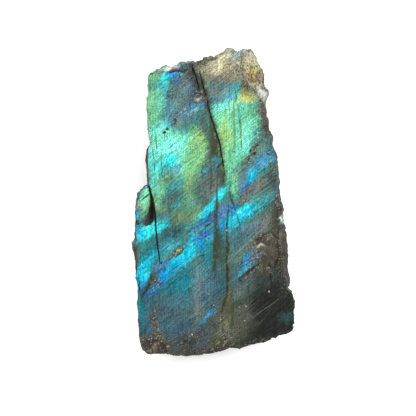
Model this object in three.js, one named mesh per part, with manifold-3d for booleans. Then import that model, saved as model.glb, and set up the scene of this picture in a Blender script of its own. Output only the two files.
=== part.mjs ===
// Semi-polished labradorite slab: one piece of rock, sawn flat at the back, lapped and polished on its face,
// with the broken flank of the raw stone left all the way round.
// Millimetres, +Z up. The slab lies on its sawn back: the back is at z = 0, the polished face at z = THICKNESS,
// the long way is along Y, and the origin is the middle of its box at the resting face.

import * as THREE from 'three';
import { mergeGeometries, mergeVertices } from 'three/addons/utils/BufferGeometryUtils.js';
import Module from 'manifold-3d';

// ---- Driving dimensions -------------------------------------------------------------------------------

const LENGTH = 154; // overall, along Y
const WIDTH = 82; // overall, along X
const THICKNESS = 22; // sawn back to polished face

const COLUMN_STEP = 2.1; // longest step of the flank's facets round the edge
const LEVELS = [0, 2.6, 5.4, 8.2, 11, 13.6, 16, 18.2, 20.2, THICKNESS]; // heights of the flank's facets
const LEVEL_WANDER = 0.7; // how far an inner level strays up or down

const RIM_CURVE = 0.8; // below 1 the flank drops off quickly beside the polished face
const FOOT_CURVE = 1.5; // above 1 the flank stays full before it turns under
const LEAN_REACH = 9; // the flank is pushed in along normals averaged this far each way
const BLEND_REACH = 4; // one stretch of the edge passes into the next over this reach
const FACET_REACH = 1.8; // facets closer together than this are averaged

// Cleavage ledges of the flank: coarse blocks and the smaller steps on them.
const COARSE_LEDGES = { size: 13, step: 1.5, lean: 0.14, seed: 11 };
const FINE_LEDGES = { size: 5, step: 0.5, lean: 0.12, seed: 23 };

// ---- The outline, seen from above ---------------------------------------------------------------------
// Counterclockwise from the upper left. rim: how far the polished face stops inside the outline,
// belly: the height at which the flank is widest, foot: how far the sawn back stops inside the outline.

const EDGE = [
  {
    name: 'upper left, a straight joint face',
    rim: 0.5,
    belly: 18,
    foot: 3,
    points: [[-32.7, 62.4], [-32.5, 52.6], [-33.2, 51.6], [-33.4, 47.4], [-32.6, 36.5], [-31.8, 28.7]],
  },
  {
    name: 'notch above the split-off wedge',
    rim: 1.2,
    belly: 15,
    foot: 2,
    points: [[-33.2, 25.6], [-33.7, 21.5], [-33.1, 9.7]],
  },
  {
    name: 'split-off wedge',
    rim: 0.9,
    belly: 16,
    foot: 3.5,
    points: [[-35.8, 6.6], [-38.5, 4.4], [-38.8, -0.6], [-39.3, -3.2], [-39.1, -9], [-39.3, -17.6]],
  },
  {
    name: 'small ledge standing out below the wedge',
    rim: 2.2,
    belly: 19,
    foot: 4,
    points: [[-39.9, -19.4], [-40.8, -20.3], [-40.5, -22.6], [-39.5, -30.1]],
  },
  {
    name: 'lower left',
    rim: 0.8,
    belly: 14,
    foot: 3,
    points: [
      [-38.8, -33.9], [-39.3, -36.1], [-38.3, -43.1], [-38.3, -49.6], [-37.2, -65.6], [-36.2, -72.4],
      [-35.1, -74.1],
    ],
  },
  {
    name: 'bottom, a ragged cross break',
    rim: 0.6,
    belly: 13,
    foot: 4,
    points: [
      [-32.8, -75.6], [-31, -75.9], [-23.8, -75.5], [-21.8, -75.9], [-20, -76.8], [-16, -76.5],
      [-13.8, -76.9], [-8.8, -76.5], [-6.2, -76.1], [-1.8, -76], [5.8, -74.2], [8, -73], [13, -73.4],
      [17.8, -71.8], [22.8, -70.6], [25, -70.5], [28.2, -69], [29.4, -68], [30.9, -68.1], [32.2, -67.1],
      [38.2, -65.5],
    ],
  },
  {
    name: 'bulge at the lower right corner',
    rim: 1,
    belly: 12,
    foot: 3,
    points: [
      [39.6, -64.5], [40.1, -63], [39.9, -61.6], [40.7, -60.8], [40.3, -54.4], [40.8, -52.9],
      [40.9, -50.1], [39.4, -44.9], [37.3, -42.8],
    ],
  },
  {
    name: 'lower right, dark flank',
    rim: 2.4,
    belly: 15,
    foot: 2.5,
    points: [[38.2, -41.9], [38.2, -39.1], [36.9, -32.6]],
  },
  {
    name: 'wide weathered step on the right',
    rim: 4,
    belly: 16,
    foot: 2,
    points: [[37.2, -25.1], [36.6, -18], [35.9, -11.7]],
  },
  {
    name: 'glassy knob',
    rim: 2.8,
    belly: 18,
    foot: 2.5,
    points: [[34.9, -10.4], [34.8, -8.6], [35.1, -3.9]],
  },
  {
    name: 'right side',
    rim: 1.3,
    belly: 14,
    foot: 3,
    points: [
      [33.7, 1.4], [33.4, 3.9], [33.3, 9.9], [32.2, 17.4], [32.3, 20.4], [31.7, 23.9], [30.8, 25.9],
      [29.8, 29.4], [29.8, 32.6],
    ],
  },
  {
    name: 'upper right, brown flank',
    rim: 3.3,
    belly: 13,
    foot: 2,
    points: [[28.2, 35.6], [27.8, 41.1], [26.6, 42.9], [26.8, 44.6], [26.6, 46.6], [26, 48.1]],
  },
  {
    name: 'crumbly upper right corner',
    rim: 1,
    belly: 12,
    foot: 3,
    points: [
      [26.2, 50.1], [27.6, 53.1], [27.4, 55.1], [25.8, 58.4], [25.1, 65.6], [23.1, 68.1], [21.8, 71.6],
      [19.7, 75.8], [18.8, 76.7],
    ],
  },
  {
    name: 'top, a chipped cross break',
    rim: 0.9,
    belly: 15,
    foot: 4,
    points: [
      [14.8, 76.5], [12, 75], [10.7, 75.3], [8.5, 76.8], [6.8, 76.8], [5.8, 76.1], [4.9, 74.9],
      [1.4, 73.6], [0.2, 72.4], [-1.8, 72.8], [-5, 72.4], [-8, 70.6], [-9, 69.6], [-10.1, 70.3],
      [-12.2, 70.4], [-16.2, 69.9], [-18.5, 68.4], [-21.3, 67.3], [-23.8, 68], [-26.6, 67.2],
      [-27.3, 66.3], [-28.3, 66.5], [-30.1, 64.9], [-31.4, 64.4],
    ],
  },
];

// ---- Breaks in the polished face ----------------------------------------------------------------------

// The hollow where a sliver fell out beside the left crack: gentle from the left, steep on the right.
const HOLLOW = {
  depth: 3.2,
  deepest: [-30.4, -4.6],
  points: [
    [-31.6, 2.9], [-32, -1.6], [-32.5, -5.1], [-33.8, -8.1], [-35.2, -10.1], [-35, -11.6], [-33.3, -12.1],
    [-31.3, -11.4], [-29.8, -9.6], [-29.1, -6.1], [-29.3, -3.1], [-29.8, -0.6], [-30.5, 2.4],
  ],
};

// A rough pit in the left field, long way up to the right.
const PIT_CLUSTER = {
  depth: 0.9,
  deepest: [-17.6, -25.2],
  points: [
    [-20.6, -27], [-18.6, -27.4], [-16, -25.8], [-14.6, -23.2], [-15.4, -22.3], [-17.8, -22.8],
    [-19.8, -24.6],
  ],
};

// Open cracks as V grooves: points down the middle of each, with the width there.
const CRACKS = [
  {
    name: 'left crack, from the notch past the hollow',
    depth: 1.6,
    path: [
      [-33.6, 10.2, 0.9], [-32.4, 8.4, 0.9], [-31.6, 5.4, 1.1], [-30.3, 0.9, 1.2], [-29.3, -4.1, 1.1],
      [-28.9, -9.1, 0.9], [-28.5, -14.6, 0.8], [-28, -20.1, 0.8], [-27.5, -24.6, 0.6], [-26.6, -30.1, 0.3],
    ],
  },
  {
    name: 'main fissure, upper strand',
    depth: 0.9,
    path: [
      [-12, 71.5, 1.3], [-11.5, 69, 1.2], [-10.2, 65.6, 1.1], [-8.7, 62, 1], [-8.1, 59.5, 0.8],
      [-7.5, 56.6, 0.4],
    ],
  },
  {
    name: 'main fissure, long strand',
    depth: 0.9,
    path: [
      [-6.4, 62.2, 0.4], [-5, 56.8, 0.9], [-3.7, 52.3, 1], [-2.7, 47.2, 0.8], [-1.4, 42.5, 0.8],
      [0.4, 36.8, 0.9], [3.1, 28.8, 0.9], [3.8, 24.4, 0.8], [4.6, 19.8, 0.7], [5.4, 15.4, 0.3],
    ],
  },
  {
    name: 'slanting groove, lower right',
    depth: 0.6,
    path: [[12.2, -38.4, 0.5], [15.2, -36.4, 1], [18.3, -33.8, 1.1], [22.6, -30.8, 0.5]],
  },
];

// Rough broken ground at the rim: it falls away from `from`, along `fall`, by `slope`.
const BREAKS = [
  {
    name: 'crumbly upper right corner',
    from: [14.8, 60],
    fall: [0.96, 0.28],
    shallow: 0.5,
    slope: 0.26,
    points: [
      [14.5, 80], [14.4, 70], [14.8, 63], [15.2, 59], [17.8, 57.6], [19.8, 55.4], [21.5, 52.9],
      [23, 49.4], [24, 44.9], [26, 43.4], [32, 43.4], [32, 80],
    ],
  },
  {
    name: 'chipped top rim, left',
    from: [-20, 64.4],
    fall: [-0.1, 0.99],
    shallow: 0.7,
    slope: 0.4,
    points: [
      [-36, 62.6], [-32, 62.6], [-29.2, 64], [-27.4, 63.4], [-24.6, 65], [-21.6, 63.8], [-18.6, 64.6],
      [-14.6, 64], [-11.8, 66.2], [-9.8, 67.6], [-8.6, 72], [-36, 72],
    ],
  },
  {
    name: 'chipped top rim, middle',
    from: [-4, 69.6],
    fall: [-0.4, 0.92],
    shallow: 0.5,
    slope: 0.45,
    points: [
      [-8.4, 67.8], [-4.6, 68], [-2.6, 69.6], [0.8, 70.2], [2.6, 72.4], [6.4, 74.6], [9.2, 74.2],
      [9.6, 80], [-8.4, 80],
    ],
  },
  {
    name: 'rough weathered patch, right',
    from: [22, -18],
    fall: [0.9, -0.3],
    shallow: 0.35,
    slope: 0.05,
    points: [
      [21, -19], [24.6, -16.4], [28.6, -14.6], [31.8, -17.4], [32.6, -24], [32, -30], [29.4, -33.6],
      [25, -30.6], [21.6, -25.4],
    ],
  },
  {
    name: 'crumbly lower left corner',
    from: [-30, -69.4],
    fall: [-0.2, -0.98],
    shallow: 0.4,
    slope: 0.2,
    points: [
      [-38, -70.6], [-33.6, -69], [-30.4, -68.2], [-26.6, -69.2], [-23.6, -71.4], [-22.8, -74.4],
      [-23.6, -79], [-38, -79],
    ],
  },
];
const BREAK_GRID = 1.5; // facet size of the broken ground
const BREAK_LUMPS = { size: 3.4, step: 0.55, lean: 0.16, seed: 37 };

// Single pits: centre, radii, turn in degrees and depth.
const PITS = [
  { at: [-24.4, 34.5], size: [0.9, 0.6], turn: 30, depth: 0.5 },
  { at: [-22.9, 36], size: [0.7, 0.5], turn: 30, depth: 0.4 },
  { at: [-18.9, 40.7], size: [0.7, 0.5], turn: 20, depth: 0.4 },
  { at: [-7.5, 51.4], size: [2.3, 1.5], turn: 35, depth: 0.6 },
  { at: [20.2, 23.8], size: [1.1, 0.8], turn: 40, depth: 0.7 },
  { at: [18.3, 25.4], size: [0.7, 0.5], turn: 30, depth: 0.5 },
  { at: [17.4, 21.2], size: [0.7, 0.5], turn: 45, depth: 0.4 },
  { at: [27, 23.6], size: [0.7, 0.5], turn: 40, depth: 0.5 },
  { at: [15.6, 0.4], size: [1.9, 0.8], turn: 25, depth: 0.5 },
  { at: [-26, -30.5], size: [0.7, 0.5], turn: 0, depth: 0.4 },
  { at: [-36.7, -59.6], size: [0.8, 0.6], turn: 60, depth: 0.5 },
  { at: [-37.9, -10.2], size: [1.5, 1], turn: -60, depth: 1.6 },
];

// Shell-shaped breaks low on the flank: place on the plan and height of each ball, and its radii.
const SCOOPS = [
  { at: [-36.6, 44], z: 4, size: [5, 11, 6] },
  { at: [-42, -54], z: 3, size: [5.6, 14, 7] },
  { at: [-10, -79.6], z: 4, size: [15, 5.6, 6.5] },
  { at: [27, -73.5], z: 2.5, size: [10, 5, 6] },
  { at: [41.5, -30], z: 3, size: [5.6, 11, 6] },
  { at: [36.5, 14], z: 3.5, size: [5.5, 12, 6] },
  { at: [8, 79.6], z: 4, size: [11, 6, 6.5] },
  { at: [-20, 73.5], z: 3, size: [9, 6, 6] },
];

const BOWL_FLOOR = 0.3; // a bowl's floor, as a share of its outline
const BOWL_SIDE = [0.72, 0.62]; // share of the outline and of the depth at which its side turns steeper
const GROOVE_FLOOR = 0.12; // a groove's floor, as a share of its width
const LEAST_DROP = 0.1; // broken ground is at least this far below the polished face
const ABOVE = 4; // how far a cutting solid stands above the polished face
const BELOW = 16; // how deep a cutting solid may reach

const BODY_COLOUR = 0x4f8482; // grey feldspar with its blue-green flash

const wasm = await Module();
wasm.setup();

// ---- Repeatable chance and broken-ground relief -------------------------------------------------------

/** A number from 0 to 1 that depends only on the keys. */
function chance(...keys) {
  let mixed = 0x2545f491;
  for (const key of keys) {
    mixed = Math.imul(mixed ^ (key + 0x9e3779b9), 0x85ebca6b);
    mixed ^= mixed >>> 13;
  }
  mixed = Math.imul(mixed, 0xc2b2ae35);
  return ((mixed ^ (mixed >>> 16)) >>> 0) / 2 ** 32;
}

/** A number from -1 to 1 that depends only on the keys. */
function swing(...keys) {
  return 2 * chance(...keys) - 1;
}

/** Relief of flat cleavage facets at (u, v). Each has its own level and lean; u repeats every `wrap`. */
function ledges(u, v, { size, step, lean, seed }, wrap = 0) {
  const across = wrap ? Math.round(wrap / size) : 0;
  const pitch = wrap ? wrap / across : size;
  const column = Math.floor(u / pitch);
  const row = Math.floor(v / size);
  let nearest = Infinity;
  let relief = 0;
  for (let i = column - 1; i <= column + 1; i += 1) {
    for (let j = row - 1; j <= row + 1; j += 1) {
      const key = wrap ? ((i % across) + across) % across : i;
      const du = u - (i + chance(key, j, seed)) * pitch;
      const dv = v - (j + chance(key, j, seed + 1)) * size;
      const distance = Math.hypot(du, dv);
      if (distance < nearest) {
        nearest = distance;
        relief = step * swing(key, j, seed + 2);
        relief += lean * (du * swing(key, j, seed + 3) + dv * swing(key, j, seed + 4));
      }
    }
  }
  return relief;
}

// ---- Closed solids from rings of points ---------------------------------------------------------------

/** A flat cap over a ring, from a shape of the ring's own points. */
function cap(ring, facingUp) {
  const geometry = new THREE.ShapeGeometry(new THREE.Shape(ring.map((p) => new THREE.Vector2(p.x, p.y))));
  geometry.translate(0, 0, ring[0].z);
  if (!facingUp) {
    geometry.index.array.reverse();
  }
  return geometry;
}

/** A closed solid through counterclockwise rings of equal count, listed from the lowest up. */
function lofted(rings) {
  const count = rings[0].length;
  const wall = new THREE.PlaneGeometry(1, 1, count, rings.length - 1);
  for (let level = 0; level < rings.length; level += 1) {
    const ring = rings[rings.length - 1 - level];
    for (let i = 0; i <= count; i += 1) {
      const { x, y, z } = ring[i % count];
      wall.attributes.position.setXYZ(level * (count + 1) + i, x, y, z);
    }
  }
  return mergeGeometries([wall, cap(rings[0], false), cap(rings[rings.length - 1], true)]);
}

/** The solid that manifold-3d joins and cuts, from a closed geometry. */
function solidOf(geometry) {
  geometry.deleteAttribute('normal');
  geometry.deleteAttribute('uv');
  const merged = mergeVertices(geometry);
  return new wasm.Manifold(new wasm.Mesh({
    numProp: 3,
    vertProperties: merged.attributes.position.array,
    triVerts: Uint32Array.from(merged.index.array),
  }));
}

/** A flat-shaded geometry from a finished solid. */
function geometryOf(solid) {
  const { vertProperties, triVerts } = solid.getMesh();
  const geometry = new THREE.BufferGeometry();
  geometry.setAttribute('position', new THREE.BufferAttribute(vertProperties, 3));
  geometry.setIndex(new THREE.BufferAttribute(triVerts, 1));
  geometry.computeVertexNormals();
  return geometry;
}

// ---- The slab's body ----------------------------------------------------------------------------------

/** Outline points stretched to the overall size, each with the flank measures of its stretch. */
function outline() {
  const box = new THREE.Box2();
  EDGE.forEach(({ points }) => points.forEach(([x, y]) => box.expandByPoint(new THREE.Vector2(x, y))));
  const middle = box.getCenter(new THREE.Vector2());
  const size = box.getSize(new THREE.Vector2());
  return EDGE.flatMap(({ rim, belly, foot, points }) => points.map(([x, y]) => ({
    x: (x - middle.x) * (WIDTH / size.x),
    y: (y - middle.y) * (LENGTH / size.y),
    rim,
    belly,
    foot,
  })));
}

/** The outline cut into short steps, with each column's distance round the edge. */
function columnsOf(corners) {
  const columns = [];
  let around = 0;
  corners.forEach((from, i) => {
    const to = corners[(i + 1) % corners.length];
    const length = Math.hypot(to.x - from.x, to.y - from.y);
    const steps = Math.ceil(length / COLUMN_STEP);
    for (let k = 0; k < steps; k += 1) {
      const along = k / steps;
      columns.push({
        ...from,
        x: THREE.MathUtils.lerp(from.x, to.x, along),
        y: THREE.MathUtils.lerp(from.y, to.y, along),
        around: around + along * length,
      });
    }
    around += length;
  });
  return { columns, perimeter: around };
}

/** Means over each column's neighbours within `reach` along the edge, weighted to the nearest. */
function averaged(columns, perimeter, reach, read) {
  return columns.map((here) => {
    let total = 0;
    let weights = 0;
    for (const other of columns) {
      const apart = Math.abs(other.around - here.around);
      const distance = Math.min(apart, perimeter - apart);
      const weight = Math.max(0, 1 - distance / reach);
      total += weight * read(other);
      weights += weight;
    }
    return total / weights;
  });
}

/** How far the flank lies inside the outline at a height, before its ledges. */
function hollowing(column, z) {
  const above = Math.max(0, (z - column.belly) / (THICKNESS - column.belly));
  const below = Math.max(0, (column.belly - z) / column.belly);
  return column.rim * above ** RIM_CURVE + column.foot * below ** FOOT_CURVE;
}

/** The whole slab before its chips, cracks and pits: a stack of rings from the back to the face. */
function blank() {
  const { columns, perimeter } = columnsOf(outline());
  for (const key of ['rim', 'belly', 'foot']) {
    const blended = averaged(columns, perimeter, BLEND_REACH, (column) => column[key]);
    columns.forEach((column, i) => { column[key] = blended[i]; });
  }
  columns.forEach((column, i) => {
    const before = columns.at(i - 1);
    const after = columns[(i + 1) % columns.length];
    column.chord = new THREE.Vector2(after.x - before.x, after.y - before.y);
  });
  const chordX = averaged(columns, perimeter, LEAN_REACH, (column) => column.chord.x);
  const chordY = averaged(columns, perimeter, LEAN_REACH, (column) => column.chord.y);
  const insets = LEVELS.map((z) => {
    const swell = Math.sin((Math.PI * z) / THICKNESS) ** 0.5;
    return averaged(columns, perimeter, FACET_REACH, (column) => {
      const coarse = ledges(column.around, z, COARSE_LEDGES, perimeter);
      const fine = ledges(column.around, z, FINE_LEDGES, perimeter);
      return hollowing(column, z) + swell * (coarse + fine);
    });
  });
  const top = LEVELS.length - 1;
  const rings = LEVELS.map(() => []);
  columns.forEach((column, i) => {
    const out = new THREE.Vector2(chordY[i], -chordX[i]).normalize();
    const widest = Math.min(...insets.map((level) => level[i]));
    LEVELS.forEach((z, level) => {
      const inset = level === top ? column.rim : insets[level][i] - widest;
      const wander = level > 0 && level < top ? LEVEL_WANDER * swing(i >> 1, level) : 0;
      rings[level].push(new THREE.Vector3(column.x - out.x * inset, column.y - out.y * inset, z + wander));
    });
  });
  return solidOf(lofted(rings));
}

// ---- What is broken out of it -------------------------------------------------------------------------

/** A bowl under a closed outline in the polished face, deepest at one point. */
function bowl({ points, deepest, depth }) {
  const ringAt = (spread, z) => points.map(([x, y]) => new THREE.Vector3(
    THREE.MathUtils.lerp(deepest[0], x, spread),
    THREE.MathUtils.lerp(deepest[1], y, spread),
    z,
  ));
  return solidOf(lofted([
    ringAt(BOWL_FLOOR, THICKNESS - depth),
    ringAt(BOWL_SIDE[0], THICKNESS - BOWL_SIDE[1] * depth),
    ringAt(1, THICKNESS),
    ringAt(1, THICKNESS + ABOVE),
  ]));
}

/** A V groove along a path in the polished face. */
function groove({ path, depth }) {
  const side = (sign, share, z) => path.map(([x, y, width], i) => {
    const [x0, y0] = path[Math.max(0, i - 1)];
    const [x1, y1] = path[Math.min(path.length - 1, i + 1)];
    const across = new THREE.Vector2(y0 - y1, x1 - x0).normalize().multiplyScalar(0.5 * sign * share * width);
    return new THREE.Vector3(x + across.x, y + across.y, z);
  });
  const ringAt = (share, z) => [...side(-1, share, z), ...side(1, share, z).reverse()];
  return solidOf(lofted([
    ringAt(GROOVE_FLOOR, THICKNESS - depth),
    ringAt(1, THICKNESS),
    ringAt(1, THICKNESS + ABOVE),
  ]));
}

/** Rough ground that falls towards the rim: a block with a lumpy underside, trimmed to an outline. */
function brokenGround({ points, from, fall, shallow, slope }) {
  const corners = points.map(([x, y]) => new THREE.Vector2(x, y));
  const box = new THREE.Box2().setFromPoints(corners);
  const size = box.getSize(new THREE.Vector2());
  const middle = box.getCenter(new THREE.Vector2());
  const across = Math.ceil(size.x / BREAK_GRID);
  const along = Math.ceil(size.y / BREAK_GRID);
  const block = new THREE.BoxGeometry(size.x + BREAK_GRID, size.y + BREAK_GRID, 2 * ABOVE, across, along, 1);
  block.translate(middle.x, middle.y, THICKNESS);
  const position = block.attributes.position;
  for (let i = 0; i < position.count; i += 1) {
    if (position.getZ(i) < THICKNESS) {
      const x = position.getX(i);
      const y = position.getY(i);
      const run = (x - from[0]) * fall[0] + (y - from[1]) * fall[1];
      const drop = shallow + slope * Math.max(0, run) + ledges(x, y, BREAK_LUMPS);
      position.setZ(i, THICKNESS - Math.max(LEAST_DROP, drop));
    }
  }
  const depth = BELOW + ABOVE;
  const trim = new THREE.ExtrudeGeometry(new THREE.Shape(corners), { depth, bevelEnabled: false });
  trim.translate(0, 0, THICKNESS - BELOW);
  return solidOf(block).intersect(solidOf(trim));
}

/** A small shell-shaped pit in the polished face. */
function pit({ at, size, turn, depth }) {
  const ball = new THREE.IcosahedronGeometry(1, 1);
  ball.scale(size[0], size[1], depth);
  ball.rotateZ(THREE.MathUtils.degToRad(turn));
  ball.translate(at[0], at[1], THICKNESS);
  return solidOf(ball);
}

/** A large shell-shaped break low on the flank. */
function scoop({ at, z, size }) {
  const ball = new THREE.IcosahedronGeometry(1, 3);
  ball.scale(...size);
  ball.translate(at[0], at[1], z);
  return solidOf(ball);
}

/** The finished stone: the blank with everything broken out of it. */
function slab() {
  const broken = [
    bowl(HOLLOW),
    bowl(PIT_CLUSTER),
    ...CRACKS.map(groove),
    ...BREAKS.map(brokenGround),
    ...PITS.map(pit),
    ...SCOOPS.map(scoop),
  ];
  return broken.reduce((stone, piece) => stone.subtract(piece), blank());
}

// ---- The part -----------------------------------------------------------------------------------------

const labradorite = new THREE.MeshStandardMaterial({ color: BODY_COLOUR, roughness: 0.35, metalness: 0 });
labradorite.flatShading = true;

const stone = new THREE.Mesh(geometryOf(slab()), labradorite);
stone.name = 'labradorite_slab';

const part = new THREE.Group();
part.add(stone);

export default part;
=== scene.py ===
# %% [markdown]
# # A semi-polished labradorite slab
# The stone is one piece: a slice sawn off a lump of feldspar, lapped and polished on one face and left raw
# round its edge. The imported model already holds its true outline, thickness, chips and cracks. This notebook
# gives it a surface: first a finer skin with the grain of broken rock, then the polished face with its flash.

# %% The frame and the slab's measures
import math

import bmesh
import bpy
import numpy as np
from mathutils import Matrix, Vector, noise
from mathutils.geometry import delaunay_2d_cdt
from mathutils.kdtree import KDTree


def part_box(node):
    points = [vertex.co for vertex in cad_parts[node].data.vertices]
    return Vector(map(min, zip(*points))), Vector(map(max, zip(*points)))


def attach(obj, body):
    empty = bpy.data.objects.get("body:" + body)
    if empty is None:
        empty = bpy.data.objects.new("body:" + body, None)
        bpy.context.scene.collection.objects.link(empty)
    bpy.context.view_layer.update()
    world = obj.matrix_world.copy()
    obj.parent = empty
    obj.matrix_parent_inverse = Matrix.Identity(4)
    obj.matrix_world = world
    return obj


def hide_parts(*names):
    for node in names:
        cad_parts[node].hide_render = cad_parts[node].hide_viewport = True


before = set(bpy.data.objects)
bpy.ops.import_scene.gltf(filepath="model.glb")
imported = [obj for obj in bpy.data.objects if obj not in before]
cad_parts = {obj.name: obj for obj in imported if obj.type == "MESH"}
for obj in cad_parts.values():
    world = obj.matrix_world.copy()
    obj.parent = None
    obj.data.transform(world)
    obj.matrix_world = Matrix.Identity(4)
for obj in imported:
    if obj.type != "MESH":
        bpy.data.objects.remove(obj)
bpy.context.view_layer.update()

MM = 0.001
NODE = "labradorite_slab"
NAME = "labradorite_stone"
SEED = 5
noise.seed_set(SEED)  # without a seed the noise vectors start from the clock, and differ from run to run
low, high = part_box(NODE)
FACE_HEIGHT = high.z / MM
print(f"slab {(high.x - low.x) / MM:.1f} x {(high.y - low.y) / MM:.1f} x {FACE_HEIGHT:.1f} mm")

# %% [markdown]
# ## A finer skin
# Broken rock is rough at every size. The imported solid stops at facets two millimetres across, so its copy is
# cut finer before it is roughened. A displacement in the material could roughen it too, but then the shape
# would be missing from the exported mesh. The polished face and the sawn back are flat, so they are taken off
# first and filled in again at the end: a fill between finished rims can't fold, whatever the rims do.

# %% A copy of the slab without its two flat faces
POLISHED, BROKEN, SAWN = range(3)
FLAT = 0.9999  # upward part of a flat face's normal
TOUCH = 0.001  # a corner this near to the height of a flat face lies on it, mm
WELD = 0.0005  # corners nearer than this are one, mm


def finish_of(face):
    """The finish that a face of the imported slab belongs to."""
    heights = [v.co.z / MM for v in face.verts]
    if face.normal.z > FLAT and min(heights) > FACE_HEIGHT - TOUCH:
        return POLISHED
    if face.normal.z < -FLAT and max(heights) < TOUCH:
        return SAWN
    return BROKEN


stone = bmesh.new()
stone.from_mesh(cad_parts[NODE].data)
bmesh.ops.remove_doubles(stone, verts=stone.verts, dist=WELD * MM)
flats = [face for face in stone.faces if finish_of(face) != BROKEN]
bmesh.ops.delete(stone, geom=flats, context="FACES")
for face in stone.faces:
    face.material_index = BROKEN
print("rock faces", len(stone.faces), "flat faces taken off", len(flats))

# %% Cutting the rock finer
ROCK_STEP = 0.9  # edges of broken rock are halved down to this length, mm
ROUNDS = 5


def halve(edge):
    """Splits an edge in the middle and joins the middle to the corner opposite, on both sides."""
    _, middle = bmesh.utils.edge_split(edge, edge.verts[0], 0.5)
    for face in list(middle.link_faces):
        corner = next(loop for loop in face.loops if loop.vert == middle)
        bmesh.utils.face_split(face, middle, corner.link_loop_next.link_loop_next.vert)


for _ in range(ROUNDS):
    long_edges = [edge for edge in stone.edges if edge.calc_length() > ROCK_STEP * MM]
    for edge in sorted(long_edges, key=lambda e: -e.calc_length()):
        halve(edge)
print("rock triangles", len(stone.faces))

# %% Roughening the broken rock
CLEAVAGE = Vector((0.80, 0.18, 0.57)).normalized()  # the way across the layers that the rock parts along
LUMPS, GRIT, LAYER, WAVE = 4.0, 0.9, 1.7, 7.0  # sizes of lumps, grit, layers and of the layers' waves, mm
LUMP_HEIGHT, GRIT_HEIGHT, STEP_HEIGHT, NIBBLE = 0.42, 0.10, 0.36, 0.22  # how far each stands out, mm
CALM = 1.1  # below the polished face the roughness grows over this height, mm
CALM_BACK = 1.2  # and above the sawn back over this one
RISER = 0.72  # part of a layer after which its step rises
STEP_MIDDLE = 0.36  # brings the steps back to the surface that they stand on
NIBBLE_SIZE = 1.1  # size of the nibbles out of the rims of the flat faces, mm
ELSEWHERE = Vector((31, 7, 3))  # far enough away for noise of its own


def ease(value, start, end):
    """0 up to start, 1 from end, and a smooth rise between."""
    t = min(1.0, max(0.0, (value - start) / (end - start)))
    return t * t * (3 - 2 * t)


def roughness_at(spot):
    """How far broken rock stands out at a place, in mm."""
    lumps = noise.fractal(spot / LUMPS, 1.0, 2.0, 4)
    grit = noise.noise(spot / GRIT) + 0.5 * noise.noise(spot / (GRIT / 2))
    run = spot.dot(CLEAVAGE) / LAYER + 0.8 * noise.noise(spot / WAVE)
    tread = run - math.floor(run)
    step = ease(tread, RISER, 1.0) - tread
    return LUMP_HEIGHT * lumps + GRIT_HEIGHT * grit + STEP_HEIGHT * (step + STEP_MIDDLE)


stone.normal_update()
for v in stone.verts:
    spot = v.co / MM
    if v.is_boundary:
        spot /= NIBBLE_SIZE
        v.co += Vector((noise.noise(spot), noise.noise(spot + ELSEWHERE), 0)) * NIBBLE * MM
    else:
        depth = ease(FACE_HEIGHT - spot.z, 0.0, CALM) * ease(spot.z, 0.0, CALM_BACK)
        v.co += v.normal * roughness_at(spot) * depth * MM

# %% [markdown]
# ## The two flat faces
# Each opening is filled with triangles drawn between its finished rim and a staggered grid of points inside
# it. The points of the polished face lie close together, because its colours will hang on them. Plain fans or
# one large polygon would close the openings too, but would hold no points for the colours.

# %% Filling in the flat faces
FACE_STEP = 0.62  # between the points of the polished face, mm
BACK_STEP = 4.0  # between those of the sawn back, mm
ROW = 0.866  # rows of points are this much closer than the points in them
CLEAR = 0.85  # how far points keep from the rim, in steps
STRAY = 0.2  # how far they stray from the grid, in steps


def on_stone(places, rim):
    """Which places lie on the flat face: a line from them crosses the rim an odd number of times."""
    inside = np.zeros(len(places), dtype=bool)
    for (ax, ay), (bx, by) in rim:
        if ay != by:
            level = (places[:, 1] < ay) != (places[:, 1] < by)
            inside ^= level & (places[:, 0] < ax + (places[:, 1] - ay) / (by - ay) * (bx - ax))
    return inside


def inner_points(rim_points, step):
    """A staggered grid of points over the slab, clear of the rim."""
    rim_tree = KDTree(len(rim_points))
    for number, point in enumerate(rim_points):
        rim_tree.insert((*point, 0), number)
    rim_tree.balance()
    points = []
    rows = int((high.y - low.y) / MM / (step * ROW)) + 1
    columns = int((high.x - low.x) / MM / step) + 1
    for row in range(rows):
        for column in range(columns):
            shift = 0.5 * (row % 2)
            spot = Vector((low.x / MM + (column + shift) * step, low.y / MM + row * step * ROW, 0))
            spot += noise.noise_vector(spot * 3.1) * step * STRAY
            if rim_tree.find((spot.x, spot.y, 0))[2] > step * CLEAR:
                points.append(Vector((spot.x, spot.y)))
    return points


def fill_flat(mesh, height, up, finish, step):
    """Fills the openings at a height with triangles between points `step` mm apart."""
    rim = [e for e in mesh.edges if e.is_boundary and all(abs(v.co.z - height * MM) < 1e-6 for v in e.verts)]
    corners = list(dict.fromkeys(v for e in rim for v in e.verts))
    index = {v: number for number, v in enumerate(corners)}
    rim_points = [v.co.xy / MM for v in corners]
    joins = [(index[e.verts[0]], index[e.verts[1]]) for e in rim]
    points = rim_points + inner_points(rim_points, step)
    places, _, triangles, origins, _, _ = delaunay_2d_cdt(points, joins, [], 2, 1e-7)
    centres = np.array([[sum(places[n][axis] for n in t) / 3 for axis in (0, 1)] for t in triangles])
    kept = on_stone(centres, [(rim_points[a], rim_points[b]) for a, b in joins])
    triangles = [triangle for triangle, keep in zip(triangles, kept) if keep]
    made = {}
    for triangle in triangles:
        for number in triangle:
            if number not in made:
                first = min(origins[number], default=len(corners))
                place = (places[number].x * MM, places[number].y * MM, height * MM)
                made[number] = corners[first] if first < len(corners) else mesh.verts.new(place)
        face = mesh.faces.new([made[number] for number in (triangle if up > 0 else reversed(triangle))])
        face.material_index = finish
        face.normal_update()
    print("rim edges", len(rim), "fill triangles", len(triangles))


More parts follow.
